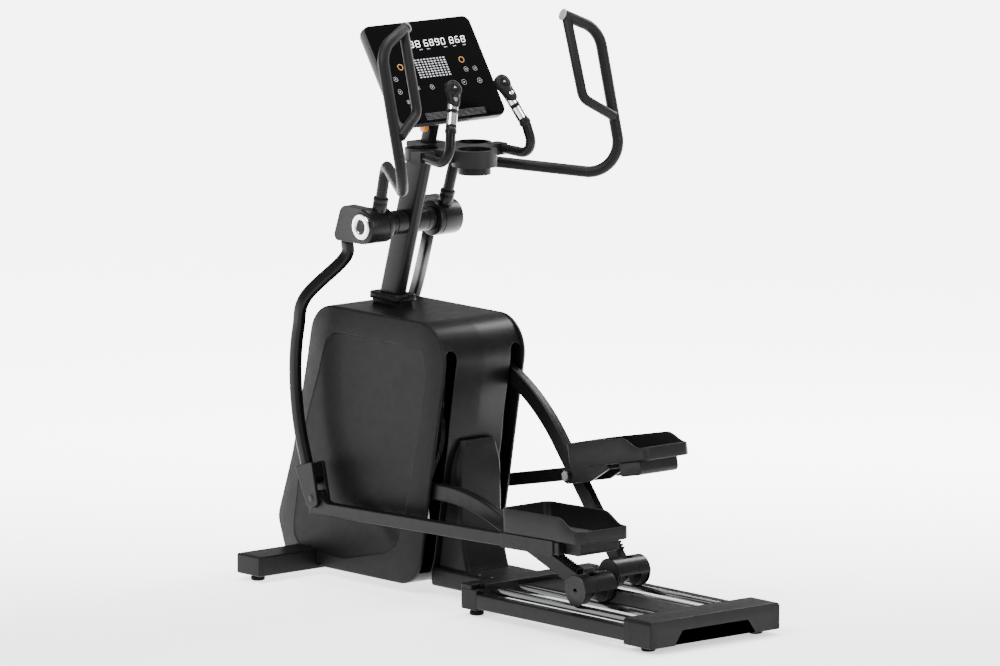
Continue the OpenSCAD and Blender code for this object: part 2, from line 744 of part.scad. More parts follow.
module housing_cowl() {
    face = [[-250, 84, 0], [-176, 488, 0], [-158, 484, 8], [-152, 280, 100], [-114, 84, 0]];
    inner = [[-262, 78, 0], [-180, 482, 0], [-164, 479, 4], [-158, 280, 96], [-119, 78, 0]];
    color(black) difference() {
        plate(-86, 86) polygon(rounded(face));
        plate(-82, 82) polygon(rounded(inner));
    }
}

// ---- drive ----

pulley_r = 138;
pulley_y = 8;
flywheel_x = -500;
flywheel_z = 208;
flywheel_r = 118;
small_pulley_r = 28;
idler_r = 24;
belt_w = 18;

function belt_dir() = let(d = [flywheel_x - crank_x, flywheel_z - crank_z]) atan2(d[1], d[0]);

module drive_frame() {
    color(dark_grey) {
        for (side = [LEFT, RIGHT]) difference() {
            side_plate(side, 54, 60) polygon([[-700, 30], [-600, 300], [-540, 540], [-424, 540], [-380, 300],
                [-300, 30]]);
            at_xz([crank_x, crank_z]) rod_y(side, 50, 64, 20 + run_fit);
            at_xz([flywheel_x, flywheel_z]) rod_y(side, 50, 64, 10);
            side_plate(side, 50, 64) polygon(rounded([[-530, 300, 20], [-510, 420, 20], [-454, 420, 20], [-434, 300, 20]]));
        }
        at_xz([flywheel_x, flywheel_z]) rod_y(RIGHT, -60, 60, 10);
    }
}

module crank_set() {
    color(steel) {
        at_xz([crank_x, crank_z]) rod_y(RIGHT, -108, 108, 20);
        for (side = [LEFT, RIGHT]) at_xz([crank_x, crank_z], crank_dir(side)) {
            difference() {
                side_plate(side, 92, 108) union() {
                    translate([0, -24]) square([crank_r, 48]);
                    circle(34);
                    translate([crank_r, 0]) circle(24);
                }
                rod_y(side, 91, 109, 20);
            }
            translate([crank_r, 0, 0]) rod_y(side, 108, roller_arm_y - ra_w / 2 - 2, 15);
        }
    }
}

module drive_pulley() {
    color(dark_grey) at_xz([crank_x, crank_z]) difference() {
        rod_y(RIGHT, pulley_y - belt_w / 2 - 2, pulley_y + belt_w / 2 + 2, pulley_r);
        rod_y(RIGHT, pulley_y - 20, pulley_y + 20, 20);
        for (i = [0:4]) rotate([0, i * 72, 0]) translate([84, 0, 0]) rod_y(RIGHT, pulley_y - 20, pulley_y + 20, 32);
    }
}

// Closed belt line round two pulleys of radius a and b at a distance l
function belt_loop(a, b, l, lean) = concat(
    [for (i = [0:16]) polar(a, 90 - lean + (180 + 2 * lean) * i / 16)],
    [for (i = [0:10]) [l, 0] + polar(b, lean - 90 + (180 - 2 * lean) * i / 10)]);

module drive_belt() {
    l = norm([flywheel_x - crank_x, flywheel_z - crank_z]);
    lean = asin((pulley_r - small_pulley_r) / l);
    t = 4;
    clear = 1.2;
    color(black) at_xz([crank_x, crank_z], belt_dir())
        side_plate(RIGHT, pulley_y - belt_w / 2, pulley_y + belt_w / 2) difference() {
            polygon(belt_loop(pulley_r + clear + t, small_pulley_r + clear + t, l, lean));
            polygon(belt_loop(pulley_r + clear, small_pulley_r + clear, l, lean));
        }
}

module belt_idler() {
    a = belt_dir();
    lean = asin((pulley_r - small_pulley_r) / norm([flywheel_x - crank_x, flywheel_z - crank_z]));
    p = [crank_x, crank_z] + polar(pulley_r + 6, a - 90 + lean) + polar(130, a + lean)
        + polar(idler_r + 0.6, a - 90 + lean);
    color(steel) at_xz(p) difference() {
        rod_y(RIGHT, pulley_y - belt_w / 2 - 1, pulley_y + belt_w / 2 + 1, idler_r);
        rod_y(RIGHT, pulley_y - 20, pulley_y + 20, 8 + run_fit);
    }
}

module flywheel() {
    color(steel) at_xz([flywheel_x, flywheel_z]) difference() {
        union() {
            rod_y(RIGHT, -34, -12, flywheel_r);
            rod_y(RIGHT, -12, pulley_y + belt_w / 2 + 2, small_pulley_r);
        }
        rod_y(RIGHT, -40, 40, 10 + run_fit);
    }
}

module brake_unit() {
    inner = flywheel_r + 4;
    color(dark_grey) at_xz([flywheel_x, flywheel_z]) {
        translate([0, -12, 0]) rotate([90, 0, 0]) rotate([0, 0, 95])
            rotate_extrude(angle = 110) translate([inner, 0]) square([12, 22]);
        translate([-inner - 62, -40, -22]) cube([48, 34, 44]);
    }
}

module control_board() {
    color([0.1, 0.3, 0.15]) translate([-600, 62, 560]) cube([120, 3, 90]);
}

module power_inlet() {
    color(black) translate([-894, 0, 108]) difference() {
        cube([30, 30, 26], center = true);
        translate([-8, 0, 0]) rotate([0, 90, 0]) cylinder(h = 20, r = 5.5, center = true);
    }
}

// ---- tray, fixed bars and console ----

module tray() {
    z0 = tray_top - tray_h;
    color(black) difference() {
        union() {
            translate([cup_x, 0, z0]) cylinder(h = tray_h, r = 69);
            for (side = [LEFT, RIGHT]) {
                translate([pocket_x, side * pocket_y, z0 + 14]) cylinder(h = tray_h - 14, r = pocket_r + 9);
                translate([-276, side * 145 - 30, z0 + 14]) cube([44, 60, tray_h - 16]);
            }
            translate([-350, -pocket_y, z0 + 14]) cube([150, 2 * pocket_y, tray_h - 14]);
            translate([-452, -44, z0 + 14]) cube([130, 88, tray_h - 14]);
            translate([cup_x, 0, tray_top - cup_depth]) cylinder(h = cup_depth, r = 50);
        }
        translate([cup_x, 0, tray_top - cup_depth + 3]) cylinder(h = cup_depth, r = cup_r - 6);
        translate([cup_x, 0, tray_top - 10]) cylinder(h = 20, r = cup_r);
        for (side = [LEFT, RIGHT]) {
            translate([pocket_x, side * pocket_y, z0 + 18]) cylinder(h = tray_h, r = pocket_r);
            tube(on_side(side, bar_path)[0], on_side(side, bar_path)[1], bar_r, 0);
        }
        translate([mast_at(tray_top) - 70, -mast_width / 2 - 1, z0 + 8])
            cube([140, mast_width + 2, mast_top_z - z0 - 7]);
        translate([mast_at(tray_top) - 8, -post_width / 2 - 0.5, z0]) cube([74, post_width + 1, 60]);
    }
}

bar_path = [[-270, 152, 1360], [-98, 172, 1350], [-117, 152, 1444], [-164, 99, 1564]];
bar_bends = [46, 60];

module fixed_bars() {
    color(black) for (side = [LEFT, RIGHT]) {
        p = on_side(side, bar_path);
        pipe(bend_path([p[0], p[1], p[2], grip_at(side, 0.88)], bar_bends), bar_r, handle_wall);
    }
}

// Point on the straight grip, t from 0 at the lower bend to 1 at the head
function grip_at(side, t) = let(p = on_side(side, bar_path)) p[2] + (p[3] - p[2]) * t;

module pulse_contacts() {
    color(chrome) for (side = [LEFT, RIGHT], t = [[0.18, 0.46], [0.54, 0.82]]) {
        a = grip_at(side, t[0]);
        b = grip_at(side, t[1]);
        tube(a, b, bar_r + 1.6, 1.6);
    }
}

module head_frame(side) {
    translate(grip_at(side, 1)) rotate([0, 90 - console_tilt, 0]) children();
}

module bar_heads() {
    color(dark_grey) for (side = [LEFT, RIGHT]) head_frame(side) difference() {
        translate([-8, 0, -12]) cylinder(h = 24, r = 27);
        translate([-8, 0, 7]) cylinder(h = 20, r = 19);
    }
}

module key(side) {
    color(black) head_frame(side) translate([-8, 0, 8.5]) cylinder(h = 4.5, r = 18.4);
}

module on_console() {
    translate([console_x, 0, console_z]) rotate([0, -console_tilt, 0]) children();
}

// Rounded slab in the console's own Y-Z plane, from x0 towards the user
module console_slab(x0, t, w, h, r) {
    translate([x0, 0, 0]) rotate([90, 0, 90]) linear_extrude(t)
        polygon(rounded([[-w / 2, -h / 2, r], [-w / 2, h / 2, r], [w / 2, h / 2, r], [w / 2, -h / 2, r]]));
}

tilt_x = -console_t - 14;
tilt_z = -75;
tilt_r = 8;
lug_y = 28;

module console_body() {
    wall = 4;
    color(dark_grey) on_console() {
        difference() {
            console_slab(-console_t, console_t - glass_t, console_w, console_h, 26);
            console_slab(-console_t + wall, console_t, console_w - 10, console_h - 10, 22);
        }
        for (side = [LEFT, RIGHT]) translate([tilt_x, 0, tilt_z]) difference() {
            side_plate(side, lug_y, lug_y + 10) union() {
                circle(13);
                translate([0, -13]) square([14, 26]);
            }
            rod_y(side, lug_y - eps, lug_y + 11, tilt_r + run_fit);
        }
    }
}

module console_glass() {
    color([0.02, 0.02, 0.02]) on_console() console_slab(-glass_t, glass_t, console_w, console_h, 26);
}

// Two cheeks on the post's top that hold the console's tilt pin
module console_bracket() {
    a = console_tilt;
    pin = [console_x + tilt_x * cos(a) - tilt_z * sin(a), console_z + tilt_x * sin(a) + tilt_z * cos(a)];
    color(black) {
        for (side = [LEFT, RIGHT]) side_plate(side, post_width / 2, lug_y - 1) union() {
            translate(pin) circle(13);
            polygon([[-402, 1441], [-358, 1441], pin + [12, -4], pin + [-12, 4]]);
        }
        at_xz(pin) rod_y(RIGHT, -lug_y - 12, lug_y + 12, tilt_r);
    }
}

module tilt_knob() {
    color([0.9, 0.45, 0.1]) translate([-380, -20, 1424]) {
        rod_y(LEFT, -2.5, 6, 6);
        rod_y(LEFT, 6, 22, 15);
    }
}

module fasteners() {
    color(steel) {
        for (side = [LEFT, RIGHT]) translate([stabiliser_x, side * 330, frame_low + stabiliser_h])
            cylinder(h = 2, r = 5);
        for (side = [LEFT, RIGHT], dx = [-60, 0]) translate([dx, side * 85, 84]) cylinder(h = 2, r = 5);
    }
}

base_beam();
deck_cover();
front_stabiliser();
stabiliser_end_caps();
levelling_feet();
track_front_block();
track_side_rails();
rear_end_cap();
track_center_cover();
rail_tubes();
mast();
mast_collar();
pivot_shaft();
shaft_end_caps();
hub(LEFT);  // hub_left
hub(RIGHT);  // hub_right
lower_arm(LEFT);  // lower_arm_left
lower_arm(RIGHT);  // lower_arm_right
handle(LEFT);  // handle_left
handle(RIGHT);  // handle_right
grip_cap(LEFT);  // grip_cap_left
grip_cap(RIGHT);  // grip_cap_right
lower_pivot(LEFT);  // lower_pivot_left
lower_pivot(RIGHT);  // lower_pivot_right
link_bar(LEFT);  // link_bar_left
link_bar(RIGHT);  // link_bar_right
pedal_tray(LEFT);  // pedal_tray_left
pedal_tray(RIGHT);  // pedal_tray_right
pedal_base(LEFT);  // pedal_base_left
pedal_base(RIGHT);  // pedal_base_right
roller_arm(LEFT);  // roller_arm_left
roller_arm(RIGHT);  // roller_arm_right
roller_carriage(LEFT);  // roller_carriage_left
roller_carriage(RIGHT);  // roller_carriage_right
roller_wheels(LEFT);  // roller_wheels_left
roller_wheels(RIGHT);  // roller_wheels_right
housing_side(LEFT);  // housing_left
housing_side(RIGHT);  // housing_right
housing_spine();
housing_cowl();
drive_frame();
crank_set();
drive_pulley();
drive_belt();
belt_idler();
flywheel();
brake_unit();
control_board();
power_inlet();
console_body();
console_glass();
console_bracket();
tilt_knob();
tray();
fixed_bars();
pulse_contacts();
bar_heads();
key(LEFT);  // key_left
key(RIGHT);  // key_right
fasteners();
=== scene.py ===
"""Looks of the elliptical trainer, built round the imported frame.

Lengths are in millimetres until a mesh is made. X runs to the rear, Y to the right and Z up.
"""
import math

import bmesh
import bpy
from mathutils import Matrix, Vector


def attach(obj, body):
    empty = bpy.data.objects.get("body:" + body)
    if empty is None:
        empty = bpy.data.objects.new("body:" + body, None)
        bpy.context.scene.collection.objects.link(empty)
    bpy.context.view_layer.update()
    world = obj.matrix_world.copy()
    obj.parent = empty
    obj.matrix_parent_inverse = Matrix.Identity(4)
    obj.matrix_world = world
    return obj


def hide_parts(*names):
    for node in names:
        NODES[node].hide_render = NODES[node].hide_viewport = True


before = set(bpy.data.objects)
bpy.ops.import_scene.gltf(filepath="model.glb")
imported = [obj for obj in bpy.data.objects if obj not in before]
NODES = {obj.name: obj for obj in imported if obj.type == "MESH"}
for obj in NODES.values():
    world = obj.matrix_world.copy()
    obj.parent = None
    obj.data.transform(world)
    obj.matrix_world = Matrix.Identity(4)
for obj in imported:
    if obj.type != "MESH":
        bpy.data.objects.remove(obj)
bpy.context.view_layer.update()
MM = 0.001
SIDES = (("left", -1), ("right", 1))


# ---------------------------------------------------------------- plane geometry

def polar(r, deg):
    return (r * math.cos(math.radians(deg)), r * math.sin(math.radians(deg)))


def corner(a, p, b, r, step=5.0):
    """Arc of radius r that rounds the corner p between a and b."""
    u = Vector((a[0] - p[0], a[1] - p[1])).normalized()
    v = Vector((b[0] - p[0], b[1] - p[1])).normalized()
    half = math.acos(max(-1, min(1, u.dot(v)))) / 2
    c = Vector(p[:2]) + (u + v).normalized() * (r / math.sin(half))
    d = r / math.tan(half)
    s, e = Vector(p[:2]) + u * d - c, Vector(p[:2]) + v * d - c
    a0 = math.atan2(s.y, s.x)
    sweep = math.atan2(s.x * e.y - s.y * e.x, s.dot(e))
    n = max(2, math.ceil(abs(math.degrees(sweep)) / step))
    return [(c.x + r * math.cos(a0 + sweep * i / n),
            c.y + r * math.sin(a0 + sweep * i / n)) for i in range(n + 1)]


def rounded(pts, step=5.0):
    out = []
    for i, p in enumerate(pts):
        a, b = pts[i - 1], pts[(i + 1) % len(pts)]
        out += corner(a, p, b, p[2], step) if p[2] > 0 else [(p[0], p[1])]
    return out


def divided(outline, step):
    """The closed outline with points no further apart than about step."""
    out = []
    for i, p in enumerate(outline):
        q = outline[(i + 1) % len(outline)]
        k = max(1, round(math.dist(p, q) / step))
        out += [(p[0] + (q[0] - p[0]) * j / k, p[1] + (q[1] - p[1]) * j / k) for j in range(k)]
    return out


def place(origin, deg):
    """Turns (x, y, z) by deg from +X towards +Z and puts it at an X-Z point."""
    c, s = math.cos(math.radians(deg)), math.sin(math.radians(deg))
    return lambda x, y, z: (origin[0] + x * c - z * s, y, origin[1] + x * s + z * c)


def here(x, y, z):
    return (x, y, z)


# ---------------------------------------------------------------- the linkage at rest

SHAFT = (-500.0, 1118.0)
CRANK = (-482.0, 482.0)
CRANK_R, CRANK_ANGLE, ARM_L, ROLLER_Z = 254.0, 84.4, 1020.0, 128.0
PIVOT_U, PIVOT_V, BAR_L, SWING_L = 335.0, 91.0, 867.0, 870.0
PIN_U, PIN_V, SWING_REST = 29.0, 31.0, 10.3
LINK_L = math.hypot(BAR_L - PIN_U, PIN_V)


def linkage(side):
    d = polar(CRANK_R, CRANK_ANGLE + (0 if side > 0 else 180))
    p = (CRANK[0] + d[0], CRANK[1] + d[1])
    dz = p[1] - ROLLER_Z
    r = (p[0] + math.sqrt(ARM_L ** 2 - dz * dz), ROLLER_Z)
    turn = math.degrees(math.atan2(p[1] - r[1], p[0] - r[0]))
    u, v = polar(PIVOT_U, turn), polar(PIVOT_V, turn - 90)
    q = (r[0] + u[0] + v[0], r[1] + u[1] + v[1])
    dist = math.hypot(q[0] - SHAFT[0], q[1] - SHAFT[1])
    e = ((q[0] - SHAFT[0]) / dist, (q[1] - SHAFT[1]) / dist)
    k = (SWING_L ** 2 - LINK_L ** 2 + dist * dist) / (2 * dist)
    h = math.sqrt(SWING_L ** 2 - k * k)
    low = (SHAFT[0] + e[0] * k + h * e[1], SHAFT[1] + e[1] * k - h * e[0])
    swing = math.degrees(math.atan2(low[1] - SHAFT[1], low[0] - SHAFT[0])) + 90
    link = math.degrees(math.atan2(q[1] - low[1], q[0] - low[0]))
    return {"roller": r, "turn": turn, "pivot": q, "low": low, "swing": swing, "link": link}


def on_swing(side):
    return place(SHAFT, linkage(side)["swing"] + SWING_REST)


def on_link(side):
    k = linkage(side)
    f = place(k["low"], k["link"] + math.degrees(math.atan2(PIN_V, BAR_L - PIN_U)))
    return lambda x, y, z: f(x - PIN_U, y, z - PIN_V)


def on_arm(side):
    k = linkage(side)
    f = place(k["roller"], k["turn"])
    return lambda x, y, z: f(x, y, -z)


def mast_at(z):
    return SHAFT[0] + (z - SHAFT[1]) * math.tan(math.radians(16.5))


# ---------------------------------------------------------------- materials

def nodes_of(name):
    m = bpy.data.materials.new(name)
    m.use_nodes = True
    t = m.node_tree
    b = t.nodes["Principled BSDF"]
    return m, t, b


def ramp(t, a, b, lo, hi):
    r = t.nodes.new("ShaderNodeValToRGB")
    r.color_ramp.elements[0].position = lo
    r.color_ramp.elements[0].color = (*a, 1)
    r.color_ramp.elements[1].position = hi
    r.color_ramp.elements[1].color = (*b, 1)
    return r


def coated(name, base, rough, grain=900.0, bump=0.12, spread=0.25, spec=0.5, painted_edge_highlight=0.0, rough_spread=0.1):
    """Moulded or painted surface: mottled colour, uneven gloss, a fine grain and a painted highlight that
    makes convex edges paler.
    """
    m, t, b = nodes_of(name)
    n, link = t.nodes, t.links
    pos = n.new("ShaderNodeTexCoord")
    big = n.new("ShaderNodeTexNoise")
    big.inputs["Scale"].default_value = 7.0
    big.inputs["Detail"].default_value = 5.0
    link.new(pos.outputs["Object"], big.inputs["Vector"])
    dark = tuple(c * (1 - spread) for c in base)
    pale = tuple(min(1, c * (1 + spread)) for c in base)
    tone = ramp(t, dark, pale, 0.35, 0.68)
    link.new(big.outputs["Fac"], tone.inputs["Fac"])
    colour = tone.outputs["Color"]
    # Painted highlight: where pointiness finds a convex edge, the colour is mixed towards a paler grey.
    if painted_edge_highlight > 0:
        geo = n.new("ShaderNodeNewGeometry")
        edge = n.new("ShaderNodeMapRange")
        edge.inputs["From Min"].default_value = 0.505
        edge.inputs["From Max"].default_value = 0.58
        edge.inputs["To Max"].default_value = painted_edge_highlight
        link.new(geo.outputs["Pointiness"], edge.inputs["Value"])
        mix = n.new("ShaderNodeMix")
        mix.data_type = "RGBA"
        link.new(edge.outputs["Result"], mix.inputs["Factor"])
        link.new(colour, mix.inputs["A"])
        mix.inputs["B"].default_value = (*[min(1, c * 3 + 0.03) for c in base], 1)
        colour = mix.outputs["Result"]
    link.new(colour, b.inputs["Base Color"])
    mid = n.new("ShaderNodeTexNoise")
    mid.inputs["Scale"].default_value = 38.0
    mid.inputs["Detail"].default_value = 6.0
    link.new(pos.outputs["Object"], mid.inputs["Vector"])
    gloss = n.new("ShaderNodeMapRange")
    gloss.inputs["To Min"].default_value = max(0.02, rough - rough_spread)
    gloss.inputs["To Max"].default_value = min(1, rough + rough_spread)
    link.new(mid.outputs["Fac"], gloss.inputs["Value"])
    link.new(gloss.outputs["Result"], b.inputs["Roughness"])
    fine = n.new("ShaderNodeTexNoise")
    fine.inputs["Scale"].default_value = grain
    fine.inputs["Detail"].default_value = 3.0
    link.new(pos.outputs["Object"], fine.inputs["Vector"])
    bp = n.new("ShaderNodeBump")
    bp.inputs["Strength"].default_value = bump
    bp.inputs["Distance"].default_value = 0.0006
    link.new(fine.outputs["Fac"], bp.inputs["Height"])
    link.new(bp.outputs["Normal"], b.inputs["Normal"])
    b.inputs["Specular IOR Level"].default_value = spec
    return m


def brushed(name, base, rough, axis, stretch=60.0, bump=0.05):
    """Metal with fine lines along an axis."""
    m, t, b = nodes_of(name)
    n, link = t.nodes, t.links
    pos = n.new("ShaderNodeTexCoord")
    mp = n.new("ShaderNodeMapping")
    scale = [stretch * 8] * 3
    scale[axis] = 4.0
    mp.inputs["Scale"].default_value = scale
    link.new(pos.outputs["Object"], mp.inputs["Vector"])
    line = n.new("ShaderNodeTexNoise")
    line.inputs["Scale"].default_value = 1.0
    line.inputs["Detail"].default_value = 4.0
    link.new(mp.outputs["Vector"], line.inputs["Vector"])
    tone = ramp(t, tuple(c * 0.86 for c in base), base, 0.3, 0.7)
    link.new(line.outputs["Fac"], tone.inputs["Fac"])
    link.new(tone.outputs["Color"], b.inputs["Base Color"])
    gloss = n.new("ShaderNodeMapRange")
    gloss.inputs["To Min"].default_value = max(0.02, rough - 0.05)
    gloss.inputs["To Max"].default_value = rough + 0.08
    link.new(line.outputs["Fac"], gloss.inputs["Value"])
    link.new(gloss.outputs["Result"], b.inputs["Roughness"])
    bp = n.new("ShaderNodeBump")
    bp.inputs["Strength"].default_value = bump
    bp.inputs["Distance"].default_value = 0.0004
    link.new(line.outputs["Fac"], bp.inputs["Height"])
    link.new(bp.outputs["Normal"], b.inputs["Normal"])
    b.inputs["Metallic"].default_value = 1.0
    return m


def lit(name, colour, strength):
    """Printed or lit mark on the display, a little uneven."""
    m, t, b = nodes_of(name)
    pos = t.nodes.new("ShaderNodeTexCoord")
    noise = t.nodes.new("ShaderNodeTexNoise")
    noise.inputs["Scale"].default_value = 260.0
    t.links.new(pos.outputs["Object"], noise.inputs["Vector"])
    tone = ramp(t, tuple(c * 0.8 for c in colour), colour, 0.3, 0.6)
    t.links.new(noise.outputs["Fac"], tone.inputs["Fac"])
    t.links.new(tone.outputs["Color"], b.inputs["Base Color"])
    t.links.new(tone.outputs["Color"], b.inputs["Emission Color"])
    b.inputs["Emission Strength"].default_value = strength
    b.inputs["Roughness"].default_value = 0.5
    return m


# painted_edge_highlight sets how strongly each material's convex edges are painted paler as a highlight.
PAINT = coated("powder_black", (0.00217, 0.00217, 0.002356), 0.34, spec=0.128, grain=1400, bump=0.16,
        painted_edge_highlight=0.12)
PLASTIC = coated("moulded_black", (0.00248, 0.00248, 0.002666), 0.42, spec=0.112, grain=1900, bump=0.2,
        painted_edge_highlight=0.2)
PANEL = coated("panel_black", (0.001984, 0.001984, 0.00217), 0.44, spec=0.104, grain=2400, bump=0.22,
        painted_edge_highlight=0.15)
SPINE = coated("spine_black", (0.00217, 0.00217, 0.002356), 0.34, spec=0.16, grain=2400, bump=0.12,
        painted_edge_highlight=0.1)
PEDAL = coated("pedal_grey", (0.0031, 0.0031, 0.003286), 0.44, spec=0.12, grain=1500, bump=0.25, painted_edge_highlight=0.3)
TREAD = coated("pedal_tread", (0.008, 0.008, 0.0083), 0.5, spec=0.25, grain=700, bump=0.4, painted_edge_highlight=0.5)
HUB = coated("hub_black", (0.00186, 0.00186, 0.001984), 0.3, spec=0.16, grain=2200, bump=0.08, painted_edge_highlight=0.2)
GRIP = coated("grip_rubber", (0.00279, 0.00279, 0.002976), 0.5, spec=0.128, grain=1300, bump=0.35,
        spread=0.18, painted_edge_highlight=0.2)
SLEEVE = coated("sleeve_rubber", (0.00186, 0.00186, 0.001984), 0.4, spec=0.12, grain=1100, bump=0.25,
        painted_edge_highlight=0.2)
CAPGREY = coated("cap_grey", (0.2, 0.2, 0.205), 0.38, grain=900, bump=0.12, spread=0.08)
RUBBER = coated("foot_rubber", (0.00186, 0.00186, 0.00186), 0.7, spec=0.096, grain=500, bump=0.4)
WHEEL = coated("wheel_rubber", (0.00186, 0.00186, 0.001984), 0.34, spec=0.16, grain=600, bump=0.2, painted_edge_highlight=0.4)
TRAY = coated("tray_black", (0.00248, 0.00248, 0.002666), 0.4, spec=0.12, grain=2000, bump=0.2, painted_edge_highlight=0.25)
BODY_GREY = coated("console_grey", (0.03, 0.03, 0.031), 0.42, spec=0.2, grain=1800, bump=0.15, spread=0.08,
        painted_edge_highlight=0.1)
GLASS = coated("console_gloss", (0.001, 0.001, 0.0011), 0.12, spec=0.12, grain=200, bump=0.01, spread=0.1,
        rough_spread=0.03)
ORANGE = coated("knob_orange", (0.75, 0.25, 0.02), 0.4, grain=900, bump=0.15, spread=0.1)
# Near-black: the own colour of the shaft end buttons and axle screws, and painted shade in the seam strips
# of the end cap and spine.
BLACK_AND_SEAM_SHADE = coated("black_and_painted_seam_shade", (0.004, 0.004, 0.004), 0.8, grain=500, bump=0.2)
CHROME = brushed("rail_chrome", (0.86, 0.87, 0.89), 0.1, 0, bump=0.02)
CHROME_Y = brushed("ring_chrome", (0.88, 0.88, 0.9), 0.12, 1, bump=0.02)
PULSE = brushed("pulse_steel", (0.9, 0.9, 0.91), 0.16, 2, bump=0.02)
STEEL = brushed("machined_steel", (0.45, 0.46, 0.48), 0.3, 1)
ZINC = brushed("zinc_screw", (0.25, 0.26, 0.27), 0.35, 2)
ALLOY = brushed("cast_alloy", (0.55, 0.56, 0.58), 0.38, 2)
BELT = coated("belt_rubber", (0.015, 0.015, 0.015), 0.7, grain=300, bump=0.5)
BRAKE = coated("brake_paint", (0.05, 0.05, 0.055), 0.45)
BOARD = coated("board_green", (0.02, 0.1, 0.04), 0.4, grain=200, bump=0.3)
WHITE = lit("display_white", (0.9, 0.92, 0.95), 1.7)
DIM = lit("display_dim", (0.36, 0.37, 0.39), 0.7)
FAINT = lit("display_faint", (0.08, 0.08, 0.085), 0.02)
AMBER = lit("display_amber", (0.6, 0.28, 0.05), 0.5)


# ---------------------------------------------------------------- mesh makers

def make(name, verts, faces, body, material, bevel=0.0, segments=3, limit=32, smooth=32, stand_for=(),
        slot=None):
    me = bpy.data.meshes.new(name)
    me.from_pydata([(x * MM, y * MM, z * MM) for x, y, z in verts], [], faces)
    me.validate()
    bm = bmesh.new()
    bm.from_mesh(me)
    bmesh.ops.remove_doubles(bm, verts=bm.verts, dist=1e-6)
    bmesh.ops.recalc_face_normals(bm, faces=bm.faces)
    bm.to_mesh(me)
    bm.free()
    me.polygons.foreach_set("use_smooth", [True] * len(me.polygons))
    ob = bpy.data.objects.new(name, me)
    bpy.context.scene.collection.objects.link(ob)
    me.materials.append(material)
    if bevel > 0:
        mod = ob.modifiers.new("edge", "BEVEL")
        mod.width = bevel * MM
        mod.segments = segments
        mod.limit_method = "ANGLE"
        mod.angle_limit = math.radians(limit)
        mod.harden_normals = True
    else:
        me.set_sharp_from_angle(angle=math.radians(smooth))
    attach(ob, body)
    if stand_for:
        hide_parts(*([stand_for] if isinstance(stand_for, str) else stand_for))
    return ob


def between(name, low, high, body, material, **kw):
    """Solid between two outlines with the same number of points."""
    n = len(low)
    faces = [list(range(n)), list(range(2 * n - 1, n - 1, -1))]
    faces += [[i, (i + 1) % n, n + (i + 1) % n, n + i] for i in range(n)]
    return make(name, low + high, faces, body, material, **kw)


def prism(name, outline, y0, y1, body, material, tf=here, **kw):
    """Outline in X-Z, run along Y."""
    return between(name, *[[tf(x, y, z) for x, z in outline] for y in (y0, y1)], body, material, **kw)


def slab(name, outline, z0, z1, body, material, tf=here, **kw):
    """Outline in X-Y, run along Z."""
    return between(name, *[[tf(x, y, z) for x, y in outline] for z in (z0, z1)], body, material, **kw)


def beam(name, outline, x0, x1, body, material, **kw):
    """Outline in Y-Z, run along X."""
    return between(name, *[[(x, y, z) for y, z in outline] for x in (x0, x1)], body, material, **kw)


def span(side, a, b):
    """The two Y values of a piece between a and b from the middle, lowest first."""
    return sorted((side * a, side * b))


def rings(name, loops, body, material, ends=(True, True), **kw):
    """Skin over closed loops with the same number of points."""
    n = len(loops[0])
    verts = [p for loop in loops for p in loop]
    faces = [[i * n + k, i * n + (k + 1) % n, (i + 1) * n + (k + 1) % n,
            (i + 1) * n + k] for i in range(len(loops) - 1) for k in range(n)]
    if ends[0]:
        faces.append(list(range(n)))
    if ends[1]:
        faces.append(list(range((len(loops) - 1) * n, len(loops) * n)))
    return make(name, verts, faces, body, material, **kw)


def lathe(name, p, axis, profile, body, material, sides=56, ends=(True, True), **kw):
    """Profile of (distance along the axis, radius) turned about an axis from p."""
    d = Vector(axis).normalized()
    u = d.orthogonal().normalized()
    v = d.cross(u)
    loops = []
    for h, r in profile:
        c = Vector(p) + d * h
        row = []
        for i in range(sides):
            a = 2 * math.pi * i / sides
            row.append(tuple(c + (u * math.cos(a) + v * math.sin(a)) * r))
        loops.append(row)
    return rings(name, loops, body, material, ends=ends, **kw)


def bend_path(pts, bends, step=6.0):
    """Centre line through pts with each inner corner rounded by its bend radius."""
    pts = [Vector(p) for p in pts]
    out = [(pts[0], (pts[1] - pts[0]).normalized())]
    for i in range(1, len(pts) - 1):
        a, b = (pts[i] - pts[i - 1]).normalized(), (pts[i + 1] - pts[i]).normalized()
        ang = math.acos(max(-1, min(1, a.dot(b))))
        r = bends[i - 1]
        s = pts[i] - a * r * math.tan(ang / 2)
        nrm = (b - a * a.dot(b)).normalized()
        c = s + nrm * r
        k = max(3, math.ceil(math.degrees(ang) / step))
        for j in range(k + 1):
            t = ang * j / k
            out.append((c - nrm * r * math.cos(t) + a * r * math.sin(t),
                    a * math.cos(t) + nrm * math.sin(t)))
    out.append((pts[-1], (pts[-1] - pts[-2]).normalized()))
    return out


def circle_section(r, n=28):
    return [(r * math.cos(2 * math.pi * i / n), r * math.sin(2 * math.pi * i / n)) for i in range(n)]


def sweep(name, path, section, body, material, aside=(0, 1, 0), tf=here, end_round=2.0, **kw):
    """Section swept along a path. The section's first axis starts along aside."""
    loops = []
    side = Vector(aside)
    path = list(path)
    if end_round > 0:
        p0, d0 = path[0]
        p1, d1 = path[-1]
        path = [(p0, d0, 0.86), (p0 + d0 * end_round * 0.3, d0, 0.96), (p0 + d0 * end_round, d0, 1.0)] + \
            [(p, d, 1.0) for p, d in path[1:-1]] + \
            [(p1 - d1 * end_round, d1, 1.0), (p1 - d1 * end_round * 0.3, d1, 0.96), (p1, d1, 0.86)]
    else:
        path = [(p, d, 1.0) for p, d in path]
    for p, d, k in path:
        side = (side - d * d.dot(side)).normalized()
        other = d.cross(side)
        loops.append([tf(*(p + side * u * k + other * v * k)) for u, v in section])
    return rings(name, loops, body, material, **kw)


def rect_section(w, h, r):
    return rounded([(-w / 2, -h / 2, r), (-w / 2, h / 2, r), (w / 2, h / 2, r), (w / 2, -h / 2, r)],
            step=15)


